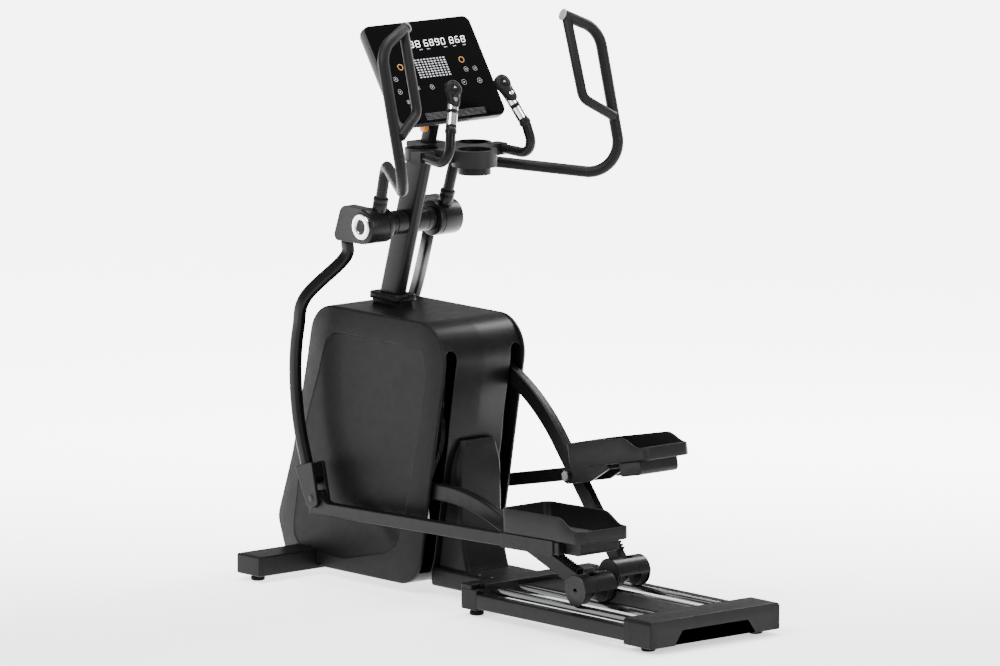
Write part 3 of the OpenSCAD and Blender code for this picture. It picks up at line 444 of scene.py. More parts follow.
def join_boxes(name, boxes, body, material, tf=here, bevel=0.0, **kw):
    """Many small blocks in one mesh, as (low corner, high corner) pairs."""
    verts, faces = [], []
    for lo, hi in boxes:
        o = len(verts)
        for z in (lo[2], hi[2]):
            for x, y in ((lo[0], lo[1]), (hi[0], lo[1]), (hi[0], hi[1]), (lo[0], hi[1])):
                verts.append(tf(x, y, z))
        faces += [[o, o + 1, o + 2, o + 3], [o + 4, o + 5, o + 6, o + 7]]
        faces += [[o + i, o + (i + 1) % 4, o + 4 + (i + 1) % 4, o + 4 + i] for i in range(4)]
    return make(name, verts, faces, body, material, bevel=bevel, segments=2, **kw)


# ---------------------------------------------------------------- base and track

def steel_box(name, y, z, r, x0, x1, material=PAINT, **kw):
    return beam(name, rounded([(y[0], z[0], r), (y[0], z[1], r), (y[1], z[1], r), (y[1], z[0], r)], 15), x0,
            x1, "frame", material, bevel=1.5, **kw)


steel_box("base_beam_skin", (-50, 50), (30, 78), 7, -735, 53, stand_for="base_beam", slot="black_coat")
steel_box("deck_cover_skin", (-106, 106), (26, 84), 9, -262, 53, PLASTIC, stand_for="deck_cover",
        slot="black_plastic")
slab("stabiliser_skin", rounded([(-845, -386, 4), (-845, 386, 4), (-735, 386, 4), (-735, -386, 4)]), 20, 82,
        "frame", PAINT, bevel=7, segments=5, limit=60, stand_for="front_stabiliser", slot="black_coat")
for name, s in SIDES:
    y0, y1 = span(s, 384, 400)
    slab("stabiliser_cap_" + name, rounded([(-845, y0, 5), (-845, y1, 5), (-735, y1, 5), (-735, y0, 5)]),
            20, 82, "frame", PLASTIC, bevel=6, segments=5, limit=60, stand_for="stabiliser_end_caps",
            slot="black_plastic")
FOOT = [(0, 17), (1.5, 20.5), (4, 22), (12, 22), (13, 19), (15, 19), (16, 21), (18, 21), (18.5, 9), (22, 9)]
for i, (x, y, top) in enumerate(((-790, 360, 22), (-790, -360, 22), (862, 215, 18), (862, -215, 18),
        (89, 225, 22), (89, -225, 22))):
    lathe("foot_%d" % i, (x, y, 0), (0, 0, 1), FOOT[:-1] + [(top, 9)], "frame", RUBBER, smooth=40,
            stand_for="levelling_feet", slot="foot_rubber")

slab("block_skin", rounded([(53, -259, 6), (53, 259, 6), (126, 259, 3), (126, -259, 3)]), 20, 83.6, "frame",
        PLASTIC, bevel=2.5, stand_for="track_front_block", slot="black_plastic")
slab("block_top", rounded([(53, -259, 6), (53, 259, 6), (102, 259, 4), (102, 219, 4), (126, 219, 3),
        (126, -219, 3), (102, -219, 4), (102, -259, 4)]), 82, 98, "frame", PLASTIC, bevel=3,
        stand_for="track_front_block", slot="black_plastic")
for name, s in SIDES:
    y0, y1 = span(s, 225, 259)
    steel_box("side_rail_" + name, (y0, y1), (26, 72), 4, 126, 800, PAINT, stand_for="track_side_rails",
            slot="black_coat")
    join_boxes("rail_clip_" + name, [((x, s * 242 - 8, 71.2), (x + 22, s * 242 + 8, 73.5)) for x in (210,
            450, 690)], "frame", PLASTIC, bevel=0.8)
steel_box("centre_cover_skin", (-66, 66), (54, 82), 5, 125.5, 800.5, PLASTIC,
        stand_for="track_center_cover", slot="black_plastic")
for i, y in enumerate((-176, -88, 88, 176)):
    lathe("rail_%d" % i, (112, y, 68), (1, 0, 0), [(0, 16), (702, 16)], "frame", CHROME, sides=64,
            stand_for="rail_tubes", slot="chrome")

CAP_FACE = rounded([(-260, 16, 5), (-260, 98, 12), (260, 98, 12), (260, 16, 5), (160, 16, 3), (130, 58, 10),
        (-130, 58, 10), (-160, 16, 3)], 10)
beam("end_cap_skin", CAP_FACE, 829, 922, "frame", PLASTIC, bevel=5, segments=4, limit=40,
        stand_for="rear_end_cap", slot="black_plastic")
beam("end_cap_fore", rounded([(-260, 16, 5), (-260, 98, 12), (260, 98, 12), (260, 16, 5)], 10), 800, 830.5,
        "frame", PLASTIC, bevel=2, limit=40, stand_for="rear_end_cap", slot="black_plastic")
# Thin dark strips on the end cap's top and rear faces: painted shade standing in for the seam lines.
for name, s in SIDES:
    y0, y1 = span(s, 224, 226.5)
    join_boxes("cap_seam_shade_" + name, [((812, y0, 97.2), (917, y1, 98.2)),
            ((921.2, y0, 22), (921.98, y1, 90))], "frame", BLACK_AND_SEAM_SHADE)


# ---------------------------------------------------------------- mast, shaft and hubs

def lean_loops(levels, shift=0.0):
    """Rounded rectangles (z, depth, width, radius, forward shift) up the leaning mast."""
    out = []
    for z, depth, width, r, dx in levels:
        out.append([(mast_at(z) + shift + dx + x, y, z) for x, y in rect_section(depth, width, r)])
    return out


rings("mast_skin", lean_loops([(82, 96, 40, 16, 0), (1349, 96, 40, 16, 0), (1351, 93, 37, 15, 0),
        (1352, 88, 32, 12, 0)]), "frame", PAINT, stand_for="mast", slot="black_coat")
rings("mast_post", lean_loops([(1351, 46, 34, 9, 0), (1460, 46, 34, 9, 0), (1462, 42, 30, 8, 0)], 24),
        "frame", PAINT, stand_for="mast", slot="black_coat")
COLLAR_X = mast_at(862) + 6


def collar_loop(z, grow, dx=0.0):
    return [(COLLAR_X + dx + x, y, z) for x, y in rect_section(152 + 2 * grow, 84 + 2 * grow, 24 + grow)]


rings("collar_skin", [collar_loop(842, -10), collar_loop(866, -9), collar_loop(869, -2),
        collar_loop(870.5, 0), collar_loop(885, 0), collar_loop(888, -2), collar_loop(889, -6),
        collar_loop(887, -14), collar_loop(880, -22)], "frame", PLASTIC, smooth=28, stand_for="mast_collar",
        slot="black_plastic")

lathe("shaft_bar", (SHAFT[0], -183, SHAFT[1]), (0, 1, 0), [(0, 20), (2, 22), (364, 22), (366, 20)], "frame",
        STEEL, stand_for="pivot_shaft", slot="steel")
for name, s in SIDES:
    tf = on_swing(s)
    lathe("barrel_" + name, (SHAFT[0], s * 20, SHAFT[1]), (0, s, 0),
            [(0, 34), (2, 37), (40, 37), (41, 35.4), (43, 35.4), (44, 37), (69, 37), (71, 35)], "frame",
            HUB, smooth=40, stand_for="pivot_shaft", slot="hub_plastic")
    lathe("end_ring_" + name, (SHAFT[0], s * 183.5, SHAFT[1]), (0, s, 0), [(0, 40), (3.8, 40), (5.1, 38.8),
            (5.5, 37), (5.5, 25), (4.8, 22.5), (2.4, 21), (0.4, 20)], "frame", CHROME_Y, smooth=40,
            ends=(True, False), stand_for="shaft_end_caps", slot="chrome")
    lathe("end_button_" + name, (SHAFT[0], s * 183.5, SHAFT[1]), (0, s, 0),
            [(0, 20.4), (2.6, 20.2), (2.8, 12), (1.6, 10.5), (1.6, 0.4)], "frame", BLACK_AND_SEAM_SHADE, smooth=30,
            stand_for="shaft_end_caps", slot="hub_plastic")
    node = "hub_" + name
    lathe("hub_skin_" + name, tf(0, s * 92.5, 0), (0, s, 0), [(0, 50), (2, 54), (5, 55), (18, 55),
            (19, 53.4), (21.5, 53.4), (22.5, 55), (86, 55), (89, 54), (90.3, 51), (90.5, 43)],
            "swing_" + name, HUB, smooth=40, sides=72, stand_for=node, slot="hub_plastic")
    y0, y1 = span(s, 144, 183)
    prism("hub_block_" + name, rounded([(-132, -36, 10), (-98, 58, 34), (0, 55, 1), (0, -55, 1),
            (-126, -55, 16)], 6), y0, y1, "swing_" + name, HUB, tf, bevel=5, segments=5, limit=30,
            stand_for=node, slot="hub_plastic")

HANDLE = [(30, 133, 72), (62, 137, 194), (508, 436, 170), (385, 428, 607), (357, 306, 661)]
INNER = [(361, 318, 650), (434, 327, 410), (470, 424, 350)]
ARM = [(-90, 165, -55), (-104, 165, -112), (-212, 230, -237), (-247, 230, -335), (-262, 230, -434),
        (-260, 230, -541), (-243, 230, -647), (-215, 230, -740), (-186, 230, -822)]


def mirrored(pts, s):
    return [(x, s * y, z) for x, y, z in pts]


def spline(pts, n=14):
    """Smooth run through the points."""
    p = [Vector(q) for q in pts]
    p = [p[0] * 2 - p[1]] + p + [p[-1] * 2 - p[-2]]
    out = []
    for i in range(1, len(p) - 2):
        for j in range(n):
            t = j / n
            a, b, c, d = p[i - 1], p[i], p[i + 1], p[i + 2]
            k2, k3 = 2 * a - 5 * b + 4 * c - d, 3 * b - a - 3 * c + d
            pos = 0.5 * (2 * b + (c - a) * t + k2 * t * t + k3 * t ** 3)
            tan = 0.5 * ((c - a) + 2 * k2 * t + 3 * k3 * t * t)
            out.append((pos, tan.normalized()))
    out.append((p[-2], (p[-2] - p[-3]).normalized()))
    return out


def tube_between(name, a, b, r, body, material, tf=here, round_end=0.6, **kw):
    a, b = Vector(tf(*a)), Vector(tf(*b))
    length = (b - a).length
    profile = [(0, r - round_end), (round_end, r), (length - round_end, r), (length, r - round_end)]
    return lathe(name, a, b - a, profile, body, material, smooth=40, **kw)


for name, s in SIDES:
    tf, body = on_swing(s), "swing_" + name
    pts = mirrored(HANDLE, s)
    sweep("handle_skin_" + name, bend_path(pts, [45, 92, 85], 4), circle_section(17.4, 36), body, GRIP,
            tf=tf, stand_for="handle_" + name, slot="grip_foam", smooth=50)
    sweep("handle_inner_" + name, bend_path(mirrored(INNER, s), [40], 4), circle_section(15.4, 32), body,
            GRIP, tf=tf, stand_for="handle_" + name, slot="grip_foam", smooth=50)
    a, b = Vector(pts[0]), Vector(pts[1])
    d = (b - a).normalized()
    c0, c1 = Vector(tf(*(a - d * 26))), Vector(tf(*(a + d * 18)))
    lathe("socket_" + name, c0, c1 - c0, [(0, 21), (8, 22.6), (30, 22.8), (31, 22), (33, 22), (34, 23.4),
            (41, 23.4), (43.4, 22.4), (44, 19.5), (42, 17.6)], body, HUB, smooth=40,
            stand_for="hub_" + name, slot="hub_plastic", ends=(True, False))
    # Seams between the handle's foam sleeves
    for i, t in enumerate((0.2, 0.78)):
        q = Vector(pts[1]).lerp(Vector(pts[2]), t)
        e = (Vector(pts[2]) - Vector(pts[1])).normalized()
        tube_between("sleeve_ring_%s_%d" % (name, i), q, q + e * 5, 17.7, body, SLEEVE, tf)
    q, e = Vector(pts[2]).lerp(Vector(pts[3]), 0.25), (Vector(pts[3]) - Vector(pts[2])).normalized()
    tube_between("sleeve_joint_" + name, q, q + e * 5, 17.7, body, SLEEVE, tf)
    end, e = Vector(pts[-1]), (Vector(pts[-1]) - Vector(pts[-2])).normalized()
    p, q = Vector(tf(*end)), Vector(tf(*(end + e * 4)))
    lathe("grip_cap_skin_" + name, p, q - p, [(-0.6, 17), (0, 18.5), (2.6, 18.5), (3.6, 17.6), (4, 15.5),
            (3.7, 6), (3.6, 0.3)], body, CAPGREY, smooth=40, stand_for="grip_cap_" + name, slot="cap_grey")

    sweep("lower_arm_skin_" + name, spline(mirrored(ARM, s), 8), rect_section(29.6, 37.6, 10), body, PAINT,
            tf=tf, end_round=1.0, stand_for="lower_arm_" + name, slot="black_coat", smooth=50)
    low = polar(SWING_L, -90 - SWING_REST)
    lp = lambda x, y, z, tf=tf, low=low: tf(x + low[0], y, z + low[1])
    cheek = rounded([(-81, 90, 8), (0, 114, 8), (30, -14, 14), (4, -32, 14), (-21, -27, 12)])
    for i, y in enumerate((202.5, 246.5)):
        y0, y1 = span(s, y, y + 11)
        prism("cheek_%s_%d" % (name, i), cheek, y0, y1, body, PAINT, lp, bevel=2.2, segments=4,
                stand_for="lower_pivot_" + name, slot="black_coat")
    y0, y1 = span(s, 212, 248)
    prism("cheek_fill_" + name, rounded([(-79, 88, 6), (-2, 111, 6), (6, 62, 10), (-46, 40, 14)]), y0, y1,
            body, PAINT, lp, bevel=2, stand_for="lower_pivot_" + name, slot="black_coat")
    p = lp(0, 0, 0)
    for i, (y, d) in enumerate(((202.5, -1), (257.5, 1))):
        lathe("pin_head_%s_%d" % (name, i), (p[0], s * y, p[2]), (0, s * d, 0),
                [(-0.5, 11.5), (0.5, 11.5), (0.9, 10.4)], body, PAINT, sides=32, smooth=30,
                stand_for="lower_pivot_" + name, slot="black_coat")
    lathe("pin_" + name, (p[0], s * 203, p[2]), (0, s, 0), [(0, 9.9), (54, 9.9)], body, STEEL, sides=32,
            stand_for="lower_pivot_" + name, slot="steel")

# ---------------------------------------------------------------- link bars and pedals

RIM_ROUND = 1.9

for name, s in SIDES:
    tf, body = on_link(s), "link_" + name
    y0, y1 = span(s, 215, 245)
    bar = rounded([(0, -20, 6), (0, 20, 6), (25, 39, 6), (43, 39, 12), (89, 20, 30), (1171, 20, 0),
            (1171, -20, 0)])
    prism("link_skin_" + name, bar, y0, y1, body, PAINT, tf, bevel=3.5, segments=4,
            stand_for="link_bar_" + name, slot="black_coat")
    p = tf(PIN_U, 0, PIN_V)
    lathe("link_eye_" + name, (p[0], s * 215, p[2]), (0, s, 0), [(0, 20.5), (1.5, 22), (28.5, 22),
            (30, 20.5)], body, PAINT, smooth=40, stand_for="link_bar_" + name, slot="black_coat")
    lug = rounded([(841, -26, 25), (841, 22, 20), (1059, 22, 0), (1059, 6, 10), (967, -26, 20)])
    for i, y in enumerate((88, 166)):
        a, b = span(s, y, y + 10)
        prism("lug_%s_%d" % (name, i), lug, a, b, body, PAINT, tf, bevel=2, stand_for="link_bar_" + name,
                slot="black_coat")
    p = tf(BAR_L, 0, 0)
    for i, (a, b) in enumerate(((84, 114), (150, 167))):
        lathe("stub_%s_%d" % (name, i), (p[0], s * a, p[2]), (0, s, 0), [(0, 10.5), (1.5, 12), (b - a, 12)],
                body, STEEL, sides=32, smooth=40, stand_for="link_bar_" + name, slot="steel")
    lathe("stub_nut_" + name, (p[0], s * 85, p[2]), (0, -s, 0), [(0, 15.5), (7, 15.5), (8.5, 14)], body,
            ZINC, sides=6)
    lathe("stub_bolt_" + name, (p[0], s * 176, p[2]), (0, s, 0), [(-1, 16), (5, 16), (7, 13.5), (5.5, 9),
            (5.5, 0.4)], body, HUB, sides=32, smooth=30)
    a, b = span(s, 100, 216)
    join_boxes("tie_" + name, [((1005, a, 6), (1059, b, 20))], body, PAINT, tf, bevel=1.5,
            stand_for="link_bar_" + name)

    # Pedal: floor, thin walls with a rim made pale by the painted edge highlight, and a low rear lip
    def pf(x, y, z, tf=tf):
        return tf(909 + x, y, z)

    tray_name = "pedal_tray_" + name
    top = lambda x: 98 if x < 262 else (98 - 36 * (1 - math.cos(math.pi * min(1, (x - 262) / 84))) / 2)
    edge = rounded([(0, 56, 22), (0, 247, 22), (345, 247, 26), (370, 222, 26), (370, 56, 16)], 4)
    dense = divided(edge, 9)
    cx, cy = 185, 151

    def inset(d, dense=dense):
        """The pedal's plan drawn in by d."""
        return [(cx + (x - cx) * (1 - d / 185), cy + (y - cy) * (1 - d / 95.5)) for x, y in dense]

    loops = []
    for d, z in ((3, 22), (0.8, 23.5), (0, 26), (0, None), (0.5, 1.2), (1.6, 1.9), (3.6, 1.9), (4.7, 1.0),
            (5.2, -2.0), (7.0, 33)):
        flat = inset(d)
        row = []
        for (x, y), (bx, _) in zip(flat, dense):
            rim = top(bx) - RIM_ROUND + (z or 0)
            row.append(pf(x, s * y, z if z and z > 20 else rim))
        loops.append(row)
    loops.append([pf(x, s * y, 30.4) for x, y in inset(9.5)])
    loops.append([pf(x, s * y, 30) for x, y in inset(13)])
    rings("pedal_skin_" + name, loops, body, PEDAL, smooth=50, stand_for=tray_name, slot="pedal_plastic")
    verts, faces = [], []
    for i in range(26):
        for j in range(14):
            x = 24 + i * 12.2 + (6.1 if j % 2 else 0)
            y = 76 + j * 11.4
            if x > 336 or y > 232:
                continue
            o = len(verts)
            verts += [pf(x - 5.4, s * y, 30.2), pf(x, s * (y + 5.2), 30.2), pf(x + 5.4, s * y, 30.2),
                    pf(x, s * (y - 5.2), 30.2)]
            verts += [pf(x - 3.6, s * y, 31.9), pf(x + 0.6, s * (y + 3.0), 32.5), pf(x + 3.9, s * y, 31.4),
                    pf(x + 0.6, s * (y - 3.0), 32.5)]
            faces += [[o, o + 3, o + 2, o + 1], [o + 4, o + 5, o + 6, o + 7]]
            faces += [[o + k, o + (k + 1) % 4, o + 4 + (k + 1) % 4, o + 4 + k] for k in range(4)]
    make("pedal_tread_" + name, verts, faces, body, TREAD, smooth=20)
    y0, y1 = span(s, 245.4, 249.2)
    prism("base_plate_" + name, rounded([(0, -23, 5), (0, 21.6, 3), (240, 21.6, 3), (240, -23, 12)]), y0,
            y1, body, PEDAL, pf, bevel=1.2, stand_for="pedal_base_" + name, slot="pedal_plastic")
    y0, y1 = span(s, 62, 214.4)
    prism("base_box_" + name, rounded([(234, -20, 8), (234, 21.6, 2), (330, 21.6, 2), (330, -20, 16)]), y0,
            y1, body, PEDAL, pf, bevel=4, segments=4, stand_for="pedal_base_" + name, slot="pedal_plastic")

# ---------------------------------------------------------------- roller arms and carriages

MID = (460.0, 118.0)
RISE = math.degrees(math.atan2(MID[1], MID[0]))
CHORD = (ARM_L - MID[0], -MID[1])
HALF = RISE - math.degrees(math.atan2(CHORD[1], CHORD[0]))
BEND = math.hypot(*CHORD) / 2 / math.sin(math.radians(HALF))
ARC_C = (MID[0] + BEND * math.sin(math.radians(RISE)), MID[1] - BEND * math.cos(math.radians(RISE)))
UP = (-math.sin(math.radians(RISE)), math.cos(math.radians(RISE)))


def arm_edge(h, steps=40):
    out = [(UP[0] * h, UP[1] * h), (MID[0] * 0.5 + UP[0] * h, MID[1] * 0.5 + UP[1] * h)]
    for i in range(steps + 1):
        a = polar(BEND + h, 90 + RISE - 2 * HALF * i / steps)
        out.append((ARC_C[0] + a[0], ARC_C[1] + a[1]))
    return out


for name, s in SIDES:
    tf, body = on_arm(s), "arm_" + name
    y0, y1 = span(s, 117, 147)
    prism("arm_skin_" + name, arm_edge(26) + arm_edge(-26)[::-1], y0, y1, body, PAINT, tf, bevel=6,
            segments=5, limit=50, stand_for="roller_arm_" + name, slot="black_coat")
    for i, (x, r) in enumerate(((0, 30), (ARM_L, 34))):
        p = tf(x, 0, 0)
        lathe("arm_eye_%s_%d" % (name, i), (p[0], s * 117, p[2]), (0, s, 0),
                [(0, r - 2), (2, r), (28, r), (30, r - 2)], body, PAINT, smooth=40,
                stand_for="roller_arm_" + name, slot="black_coat")
    # Ribbed bumper on the arm's upper side, just ahead of the roller
    d = polar(1, RISE)
    verts, faces = [], []
    for i in range(9):
        x0, x1 = i * 11.0, i * 11.0 + 7.5
        o = len(verts)
        for x, h in ((x0 + 1.5, 33.5), (x1 - 1.0, 33.5), (x1, 24), (x0, 24)):
            for y in (s * 119, s * 145):
                verts.append(tf(d[0] * (x + 62) + UP[0] * h, y, d[1] * (x + 62) + UP[1] * h))
        faces += [[o, o + 2, o + 3, o + 1], [o + 2, o + 4, o + 5, o + 3], [o + 4, o + 6, o + 7, o + 5],
                [o + 6, o, o + 1, o + 7], [o, o + 6, o + 4, o + 2], [o + 1, o + 3, o + 5, o + 7]]
    make("arm_bumper_" + name, verts, faces, body, RUBBER, bevel=0.8, segments=2)

    k = linkage(s)["roller"]
    body = "carriage_" + name
    n = 40
    cover = [(66, 44), (66, 47.4), (67.4, 49), (113, 49)], [(151, 49), (194.6, 49), (196, 47.4), (196, 44)]
    for i, prof in enumerate(cover):
        loops = []
        for y, r in prof:
            loops.append([(k[0] + r * math.cos(math.pi * j / n), s * y,
                    k[1] - 1 + r * math.sin(math.pi * j / n)) for j in range(n + 1)])
        rings("roller_cover_%s_%d" % (name, i), loops, body, HUB, smooth=40,
                stand_for="roller_carriage_" + name, slot="roller_cover")
    arc = [polar(1, 6 * j) for j in range(12)]
    y0, y1 = span(s, 112.8, 151.2)
    prism("roller_bridge_" + name, [(k[0] + 49 * x, k[1] - 1 + 49 * z) for x, z in arc] + [(k[0] + 45.5 * x,
            k[1] - 1 + 45.5 * z) for x, z in arc[::-1]], y0, y1, body, HUB,
            stand_for="roller_carriage_" + name, slot="roller_cover", smooth=40)
    for i, (a, b) in enumerate(((66, 1), (196, -1))):
        lathe("roller_disc_%s_%d" % (name, i), (k[0], s * a, k[1]), (0, s * b, 0),
                [(0.2, 44), (0.2, 26), (1.4, 25), (1.4, 0.4)], body, HUB, sides=64, smooth=30,
                ends=(False, True), stand_for="roller_carriage_" + name, slot="roller_cover")
        lathe("roller_face_%s_%d" % (name, i), (k[0], s * a, k[1]), (0, s * b, 0), [(0.3, 46), (4, 46)],
                body, HUB, sides=64, smooth=30, stand_for="roller_carriage_" + name, slot="roller_cover")
        lathe("axle_screw_%s_%d" % (name, i), (k[0], s * a, k[1]), (0, s * b, 0),
                [(0, 8.5), (0.2, 9.5), (3, 9.5)], body, BLACK_AND_SEAM_SHADE, sides=28, smooth=30)
    for i, y in enumerate((88, 176)):
        prof = [(-11, 36), (-11, 42.6), (-10.2, 43.4), (-8.4, 43.4), (-7.8, 42), (-6, 42), (-5.4, 43),
                (-3.2, 43), (-2.6, 41.6), (-1, 41.6), (-0.4, 43), (1.8, 43), (2.4, 41.6), (4, 41.6),
                (4.6, 43), (6.8, 43), (7.4, 42), (8.6, 42), (9, 43.4), (10.2, 43.4), (11, 42.6), (11, 36)]
        lathe("wheel_%s_%d" % (name, i), (k[0], s * y, k[1]), (0, s, 0), prof, "wheels_" + name, WHEEL,
                sides=72, smooth=30, stand_for="roller_wheels_" + name, slot="wheel_rubber")

# ---------------------------------------------------------------- housing

OUTLINE = [(-884, 28, 60), (-931, 160, 60), (-858, 372, 300), (-790, 660, 300), (-750, 852, 105),
        (-112, 850, 112), (-262, 28, 100)]
RECESS = [(-650, 775), (-229, 772), (-217, 677), (-256, 495), (-308, 276), (-347, 152), (-411, 114),
        (-607, 69), (-857, 82), (-796, 441), (-769, 522), (-723, 639), (-690, 745)]
CENTRE = (-540.0, 420.0)


def hit(poly, ang):
    """Where a ray from the panel's middle meets an outline."""
    dx, dz = math.cos(ang), math.sin(ang)
    best = 0
    for i, p in enumerate(poly):
        q = poly[(i + 1) % len(poly)]
        ax, az = p[0] - CENTRE[0], p[1] - CENTRE[1]
        ex, ez = q[0] - p[0], q[1] - p[1]
        det = dx * ez - dz * ex
        if abs(det) < 1e-9:
            continue
        t = (ax * ez - az * ex) / det
        u = (ax * dz - az * dx) / det
        if t > 0 and -1e-6 <= u <= 1 + 1e-6:
            best = max(best, t)
    return best


def ease(x):
    x = max(0.0, min(1.0, x))
    return x * x * (3 - 2 * x)


PANEL_IN, SPINE_HALF, SLOT_Y, SLOT_HALF, SLOT_LOW, SLOT_ARCH = 155.4, 155, 131, 23, 70, 747
SHELL = rounded(OUTLINE, 4)
DISH = rounded([(x, z, r) for (x, z), r in zip(RECESS, (60, 36, 60, 200, 200, 40, 60, 120, 60, 200, 200,
        120, 60))], 6)
ANGLES = [2 * math.pi * i / 300 for i in range(300)]
OUT_R = [hit(SHELL, a) for a in ANGLES]
IN_R = [hit(DISH, a) for a in ANGLES]


def at_angle(a, r):
    return (CENTRE[0] + r * math.cos(a), CENTRE[1] + r * math.sin(a))


DISH_LINE = [(775, -665), (645, -670), (477, -651), (315, -593), (259, -502), (200, -400), (152, -347)]


def dish(a, r):
    """How far the panel is sunk, which grows past a soft curved shoulder."""
    x, z = at_angle(a, r)
    line = DISH_LINE[0][1] if z > DISH_LINE[0][0] else DISH_LINE[-1][1]
    for (z1, x1), (z0, x0) in zip(DISH_LINE, DISH_LINE[1:]):
        if z0 <= z <= z1:
            line = x0 + (x1 - x0) * (z - z0) / (z1 - z0)
    return 0.8 + 6.4 * ease((x - line + 45) / 90)


for name, s in SIDES:
    loops = []

    def ring_at(radii, depths, s=s):
        loops.append([(*at_angle(a, r)[:1], s * y, at_angle(a, r)[1]) for a, r,
                y in zip(ANGLES, radii, depths)])

    ring_at(OUT_R, [PANEL_IN] * len(ANGLES))
    for inward, y in ((0, 161.0), (0.8, 162.9), (2.6, 164.2), (6.0, 164.9)):
        ring_at([r - inward for r in OUT_R], [y] * len(ANGLES))
    ring_at([i + 1.2 for i in IN_R], [169.4] * len(ANGLES))
    for f in (1.0, 0.993, 0.975, 0.94, 0.89, 0.83, 0.76, 0.68, 0.6, 0.5, 0.4, 0.3, 0.2, 0.1):
        ring_at([i * f for i in IN_R], [169.2 - (dish(a, i * f) if f < 0.999 else 0.5) for a,
                i in zip(ANGLES, IN_R)])
    rings("side_panel_" + name, loops, "frame", PANEL, smooth=26, stand_for="housing_" + name,
            slot="black_plastic")

# Spine: one smooth skin with a shallow crest down its rear face, a seam drawn as a dark strip of painted
# shade, and a slot for each roller arm
dense = divided(SHELL, 14)
ys = [-155, -154.2, -152.6] + [-150 + 300 * i / 40 for i in range(41)] + [152.6, 154.2, 155]
loops = []
for y in ys:
    row = []
    edge = max(0.0, abs(y) - 152.4) * 0.55
    for x, z in dense:
        rear = ease((x + 420) / 60) * ease((z - 60) / 60)
        crest = 0.0
        if rear > 0:
            crest = rear * (7.0 * ease((z - 470) / 90) * (abs(y) / SPINE_HALF) ** 1.1 + 0.3)
        dx, dz = CENTRE[0] - x, CENTRE[1] - z
        m = math.hypot(dx, dz)
        row.append((x + dx / m * edge - crest, y, z + dz / m * edge * 0.6))
    loops.append(row)
spine = rings("spine_skin", loops, "frame", SPINE, ends=(False, False), smooth=40,
        stand_for="housing_spine", slot="black_plastic")
shell = spine.modifiers.new("wall", "SOLIDIFY")
shell.thickness = 3 * MM
shell.offset = -1
for name, s in SIDES:
    c = s * SLOT_Y
    arch = [(c - SLOT_HALF, SLOT_LOW), (c + SLOT_HALF, SLOT_LOW)]
    for i in range(21):
        y, z = polar(SLOT_HALF, 9 * i)
        arch.append((c + y, SLOT_ARCH + z))
    arch = [(y + s * 2.4 if s * (y - c) > 0 and z < 750 else y, z) for y, z in arch]
    cut = beam("slot_cutter_" + name, arch, -390, -60, "frame", SPINE)
    cut.hide_render = True
    cut.hide_viewport = True
    mod = spine.modifiers.new("slot_" + name, "BOOLEAN")
    mod.operation = "DIFFERENCE"
    mod.object = cut
    mod.solver = "EXACT"
bpy.context.view_layer.update()
spine_mesh = bpy.data.meshes.new_from_object(spine.evaluated_get(bpy.context.evaluated_depsgraph_get()))
spine.modifiers.clear()
spine.data = spine_mesh
for name, s in SIDES:
    bpy.data.objects.remove(bpy.data.objects["slot_cutter_" + name])
# Dark strip across the rear face: painted shade standing in for the seam.
seam = [(-108, 495.6), (108, 495.6), (108, 494.0), (-108, 494.0)]
verts = []
for y, z in seam:
    t = (z - 28) / 822
    verts += [(-262 + 150 * t + 0.15 - 7.0 * ease((z - 470) / 90) * (abs(y) / SPINE_HALF) ** 1.1, y, z),
            (-262 + 150 * t - 3, y, z)]
make("spine_seam_shade", verts, [[0, 2, 4, 6], [1, 3, 5, 7], [0, 1, 3, 2], [2, 3, 5, 4], [4, 5, 7, 6],
        [6, 7, 1, 0]], "frame", BLACK_AND_SEAM_SHADE)

# Cowl: bulges out of the spine between the slots, narrower at the top
loops = []
for i in range(31):
    t = i / 30
    z = 84.5 + 399 * t
    back = -246 + (z - 84) * 0.1815 - 2
    if z < 280:
        out = -114 - 38 * math.sin(math.pi / 2 * (z - 84) / 196) ** 0.9
    else:
        out = -152 - 6 * (z - 280) / 204
    w = 86 - 18 * ease((z - 400) / 84)
    drop = max(0.0, (z - 474) / 10)
    out -= 5 * drop ** 2
    w -= 4 * drop ** 2
    plan = rounded([(back, -w, 0), (out, -w, 13), (out, w, 13), (back, w, 0)], 9)
    loops.append([(x, y, z) for x, y in plan])
rings("cowl_skin", loops, "frame", PLASTIC, smooth=32, stand_for="housing_cowl", slot="black_plastic")

# ---------------------------------------------------------------- tray, fixed bars and heads

BAR = [(-270, 152, 1360), (-98, 172, 1350), (-117, 152, 1444), (-164, 99, 1564)]


def bar_point(s, t):
    p = Vector(BAR[2]).lerp(Vector(BAR[3]), t)
    return Vector((p.x, s * p.y, p.z))


def head(s):
    c, k = math.cos(math.radians(56.8)), math.sin(math.radians(56.8))
    o = bar_point(s, 1)
    return lambda x, y, z: (o.x + x * c + z * k, o.y + y, o.z - x * k + z * c)


